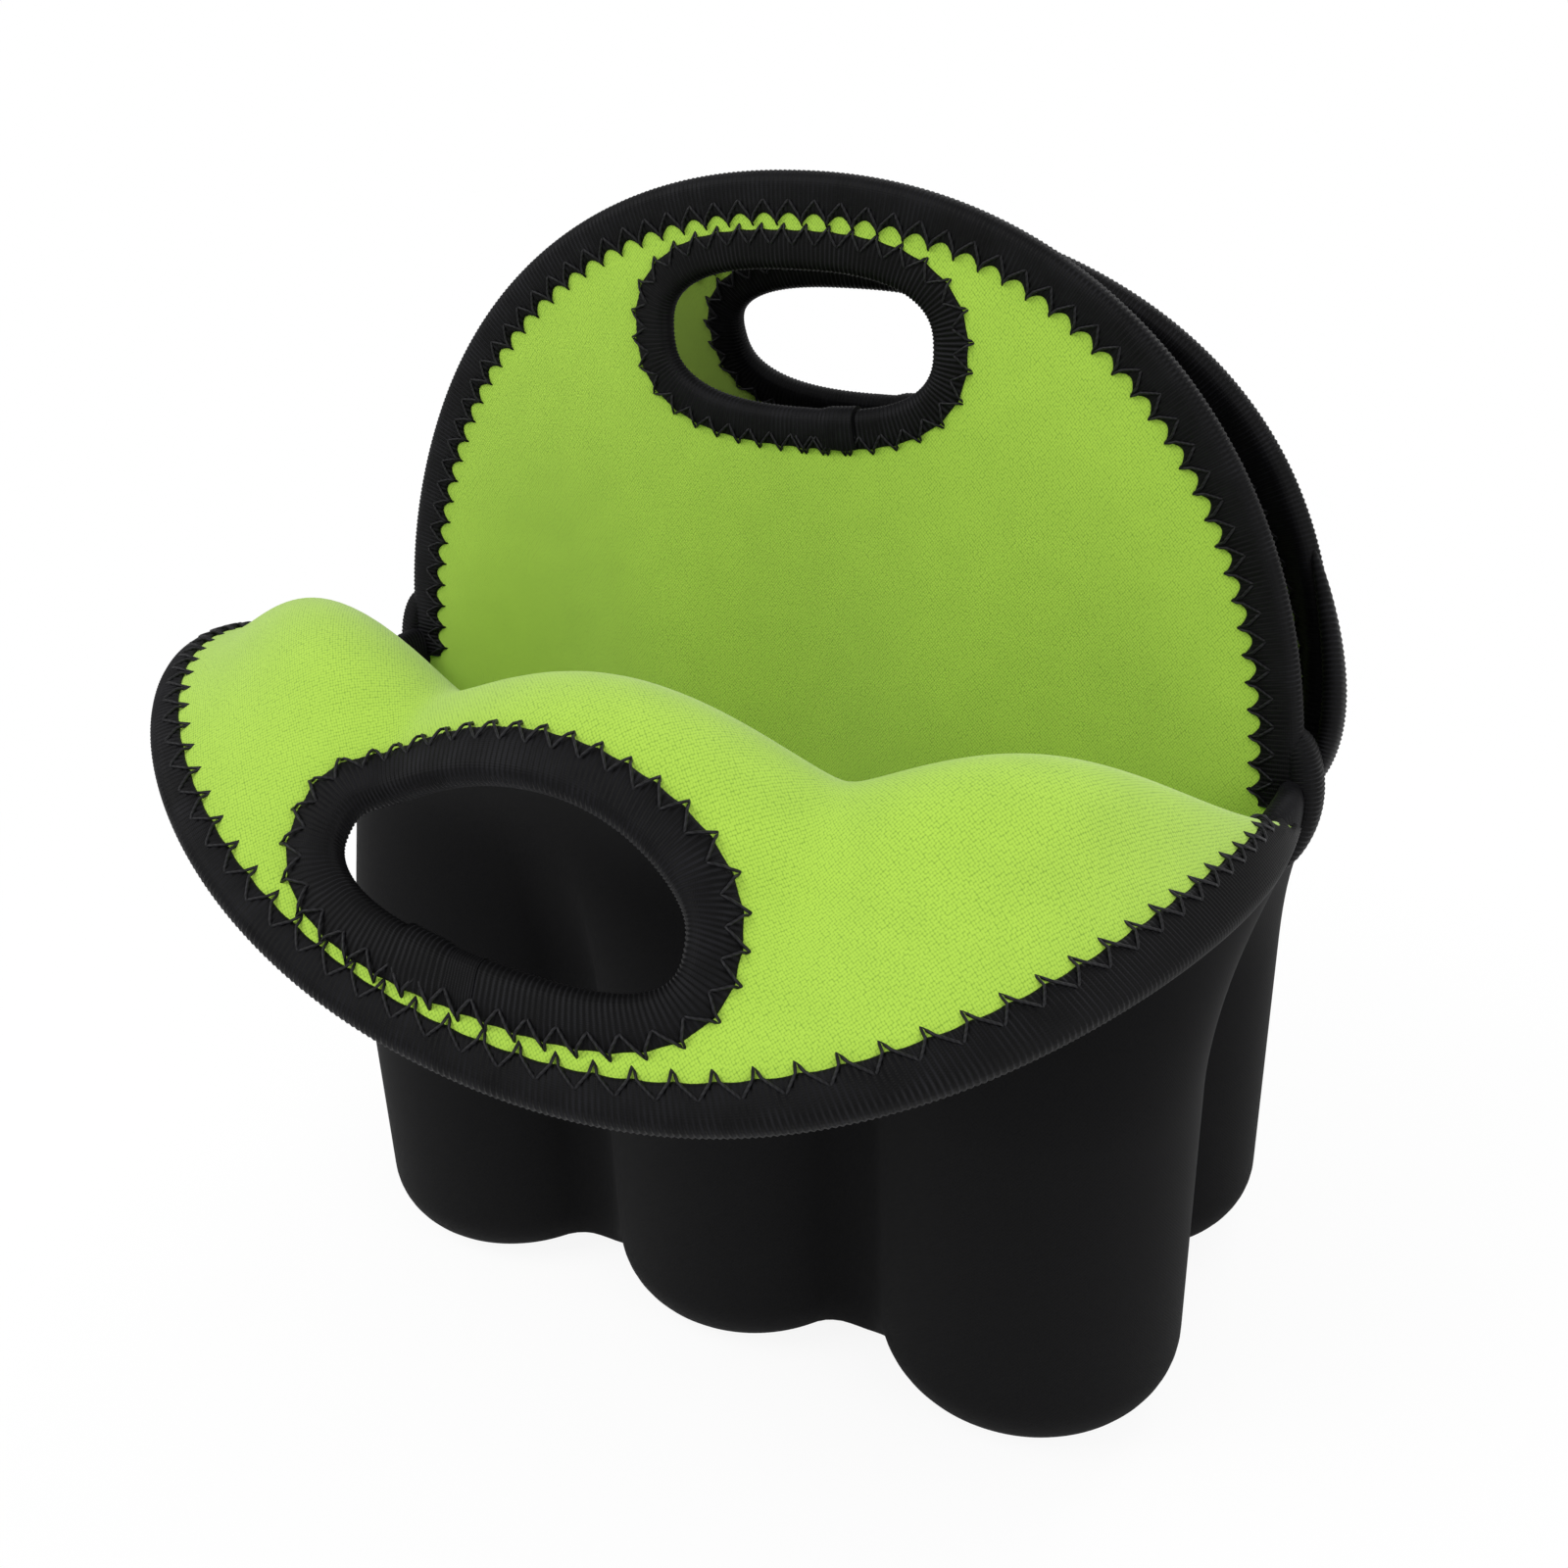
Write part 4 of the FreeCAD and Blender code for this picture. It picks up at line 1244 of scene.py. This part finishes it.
@dataclass
class FrontAssembly:
    """The front panel, its bindings and stitching, which fold at the rim and over the crest."""

    panel: FoldedPanel = field(default_factory=lambda: FoldedPanel("front", DomeCut(rise=135.0)))
    flap_height_share: float = 0.75
    flap_area_share: float = 0.60

    def build(self, finishes: Finishes) -> None:
        """Builds the front pieces in place of their CAD nodes."""
        body, flap = part_front(self.panel.sheet(finishes), "front_body_sheet", "front_flap_sheet")
        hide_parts(*pocket_nodes("front"), "front_rim_fold", *layers("front_collar"))
        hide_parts("front_crest_fold", *layers("front_flap"))
        self.declare()
        edge = edge_binding(self.panel, tape_width=6.4, askew=3.4, end_spread=4.0)
        tape, thread = edge.tape(finishes), edge.stitching(finishes)
        ends, middle = part_front(tape, "front_edge_tape_ends", "front_edge_tape_flap")
        sewn = part_front(thread, "front_edge_stitching_ends", "front_edge_stitching_flap")
        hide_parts("front_binding_ends")
        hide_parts("front_edge_binding")
        handle = handle_binding(self.panel, math.pi / 2, tape_width=8.2, nose_radius=3.2)
        hang_binding(handle, FRONT_CREST_FOLD, finishes, "front_handle_binding")

    def declare(self) -> None:
        """Computes the flat cut areas of the front panel's two parts and keeps neither."""
        wide, dome = self.panel.outline.length, self.panel.cut
        body_area = wide * self.panel.wall_drop + dome.area * (1.0 - self.flap_area_share)
        dome.area * self.flap_area_share * MM * MM


@dataclass
class CentreAssembly:
    """The centre panel with its bindings and stitching."""

    panel: CentrePanel = field(default_factory=lambda: CentrePanel("centre", DomeCut(rise=128.0)))

    def build(self, finishes: Finishes) -> None:
        """Builds the centre pieces in place of their CAD nodes."""
        sheet = self.panel.sheet(finishes)
        CENTRE_FOLD.bend(sheet)
        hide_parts(*layers("divider"), "centre_fold", *layers("centre_dome"))
        hang_binding(drawn_edge_binding(self.panel), CENTRE_FOLD, finishes, "centre_edge_binding")
        handle = handle_binding(self.panel, -math.pi / 2)
        hang_binding(handle, CENTRE_FOLD, finishes, "centre_handle_binding")


@dataclass
class BackAssembly:
    """The back panel with its bindings and stitching."""

    panel: PocketPanel = field(default_factory=lambda: PocketPanel("back", DomeCut(rise=128.0)))

    def flat_area(self) -> float:
        """Returns the area of the flat cut: the stretch round the pockets and the dome."""
        return self.panel.outline.length * self.panel.wall_drop + self.panel.cut.area

    def build(self, finishes: Finishes) -> None:
        """Builds the back pieces in place of their CAD nodes."""
        sheet = self.panel.sheet(finishes)
        BACK_FOLD.bend(sheet)
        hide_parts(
            *pocket_nodes("back"), *layers("back_collar"), "back_crest_fold", *layers("back_flap")
        )
        self.panel.outline.length * MM
        self.flat_area() * MM * MM
        edge = drawn_edge_binding(self.panel, tape_width=9.5)
        hang_binding(edge, BACK_FOLD, finishes, "back_edge_binding", "back_binding_ends")
        handle = handle_binding(self.panel, -math.pi / 2)
        hang_binding(handle, BACK_FOLD, finishes, "back_handle_binding")


# Stage


@dataclass(frozen=True)
class Studio:
    """A pale floor, soft lamps and the camera at the photograph's view."""

    floor_half: float = 4000.0
    floor_drop: float = 0.2
    shadow_reach: float = 420.0
    shadow_share: float = 0.12
    focal_pixels: float = 1700.0
    frame_pixels: float = 1600.0
    sensor: float = 36.0
    near_clip: float = 10.0
    room_strength: float = 0.55
    backdrop_strength: float = 1.0
    camera_place: Point = (173.564, -330.512, 303.936)
    yaw: float = 0.501
    pitch: float = 0.448
    roll: float = -0.034

    def camera(self) -> None:
        """Makes the camera and sets it as the scene's."""
        data = bpy.data.cameras.new("photo_view")
        data.sensor_width = self.sensor
        data.lens = self.sensor * self.focal_pixels / self.frame_pixels
        data.clip_start = self.near_clip * MM
        camera = bpy.data.objects.new("photo_view", data)
        bpy.context.scene.collection.objects.link(camera)
        level = math.cos(self.pitch)
        ahead = Vector((-math.sin(self.yaw) * level, math.cos(self.yaw) * level, -math.sin(self.pitch)))
        right = Vector((math.cos(self.yaw), math.sin(self.yaw), 0.0))
        up = right.cross(ahead)
        across = right * math.cos(self.roll) + up * math.sin(self.roll)
        over = up * math.cos(self.roll) - right * math.sin(self.roll)
        turned = Matrix((across, over, -ahead)).transposed().to_4x4()
        camera.matrix_world = Matrix.Translation(Vector(self.camera_place) * MM) @ turned
        bpy.context.scene.camera = camera

    def floor(self) -> None:
        """Lays the floor, which is white to the camera apart from a faint shadow close to the carrier."""
        mesh = bmesh.new()
        bmesh.ops.create_grid(mesh, x_segments=1, y_segments=1, size=self.floor_half * MM)
        bmesh.ops.translate(mesh, verts=mesh.verts[:], vec=(0.0, 0.0, -self.floor_drop * MM))
        material, tree = new_material("white_paper_sweep")
        seen = add_node(tree, "LightPath", {}).outputs["Is Camera Ray"]
        paper = add_node(tree, "BsdfPrincipled", {"Base Color": linear("#F4F4F4"), "Roughness": 0.9})
        glow = add_node(tree, "Emission", {"Color": WHITE, "Strength": 1.0})
        place = add_node(tree, "TexCoord", {})
        spread = add_node(
            tree, "Mapping", {"Scale": (1.0 / (self.shadow_reach * MM),) * 3}, Vector=place.outputs["Object"]
        )
        near = add_node(tree, "TexGradient", {"gradient_type": "SPHERICAL"}, Vector=spread.outputs["Vector"])
        white = map_range(tree, near.outputs["Fac"], (0.0, 1.0), (1.0, 1.0 - self.shadow_share))
        share = add_node(tree, "Math", {"operation": "MULTIPLY"}, seen, white).outputs["Value"]
        mix = add_node(tree, "MixShader", {}, share, paper.outputs["BSDF"], glow.outputs["Emission"])
        add_node(tree, "OutputMaterial", {}, Surface=mix.outputs["Shader"])
        make_piece("floor", mesh, material)

    def lamp(self, name: str, place: Point, aim: Point, width: float, watts: float) -> None:
        """Adds a square soft lamp."""
        data = bpy.data.lights.new(name, "AREA")
        data.size = width * MM
        data.energy = watts
        lamp = bpy.data.objects.new(name, data)
        bpy.context.scene.collection.objects.link(lamp)
        lamp.location = Vector(place) * MM
        lamp.rotation_mode = "QUATERNION"
        lamp.rotation_quaternion = (Vector(aim) - Vector(place)).to_track_quat("-Z", "Y")

    def light(self) -> None:
        """Adds the lamps and an even white room."""
        middle = (0.0, -40.0, 130.0)
        self.lamp("key", (-700.0, -900.0, 1300.0), middle, 900.0, 16.0)
        self.lamp("fill", (1200.0, -600.0, 700.0), middle, 900.0, 8.0)
        self.lamp("rim", (300.0, 1100.0, 1100.0), middle, 800.0, 8.0)
        world = bpy.data.worlds.new("white_room")
        world.use_nodes = True
        tree = world.node_tree
        tree.nodes.clear()
        seen = add_node(tree, "LightPath", {}).outputs["Is Camera Ray"]
        room, backdrop = (
            add_node(tree, "Background", {"Color": WHITE, "Strength": strength}).outputs["Background"]
            for strength in (self.room_strength, self.backdrop_strength)
        )
        mix = add_node(tree, "MixShader", {}, seen, room, backdrop)
        add_node(tree, "OutputWorld", {}, Surface=mix.outputs["Shader"])
        bpy.context.scene.world = world
        bpy.context.scene.view_settings.view_transform = "Standard"


def main() -> None:
    """Builds the carrier on its frame, then the stage round it."""
    logging.basicConfig(level=logging.INFO, format="%(name)s: %(message)s")
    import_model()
    finishes = Finishes.make()
    seams = [SideSeam(side) for side in Side]
    webs = [Partition(row, out, side) for row, out in (("front", -1.0), ("back", 1.0)) for side in Side]
    for assembly in (FrontAssembly(), CentreAssembly(), BackAssembly(), *seams, *webs):
        assembly.build(finishes)
        LOG.info("built %s", type(assembly).__name__)
    studio = Studio()
    studio.floor()
    studio.light()
    studio.camera()
    bpy.context.view_layer.update()


if __name__ == "__main__":
    main()
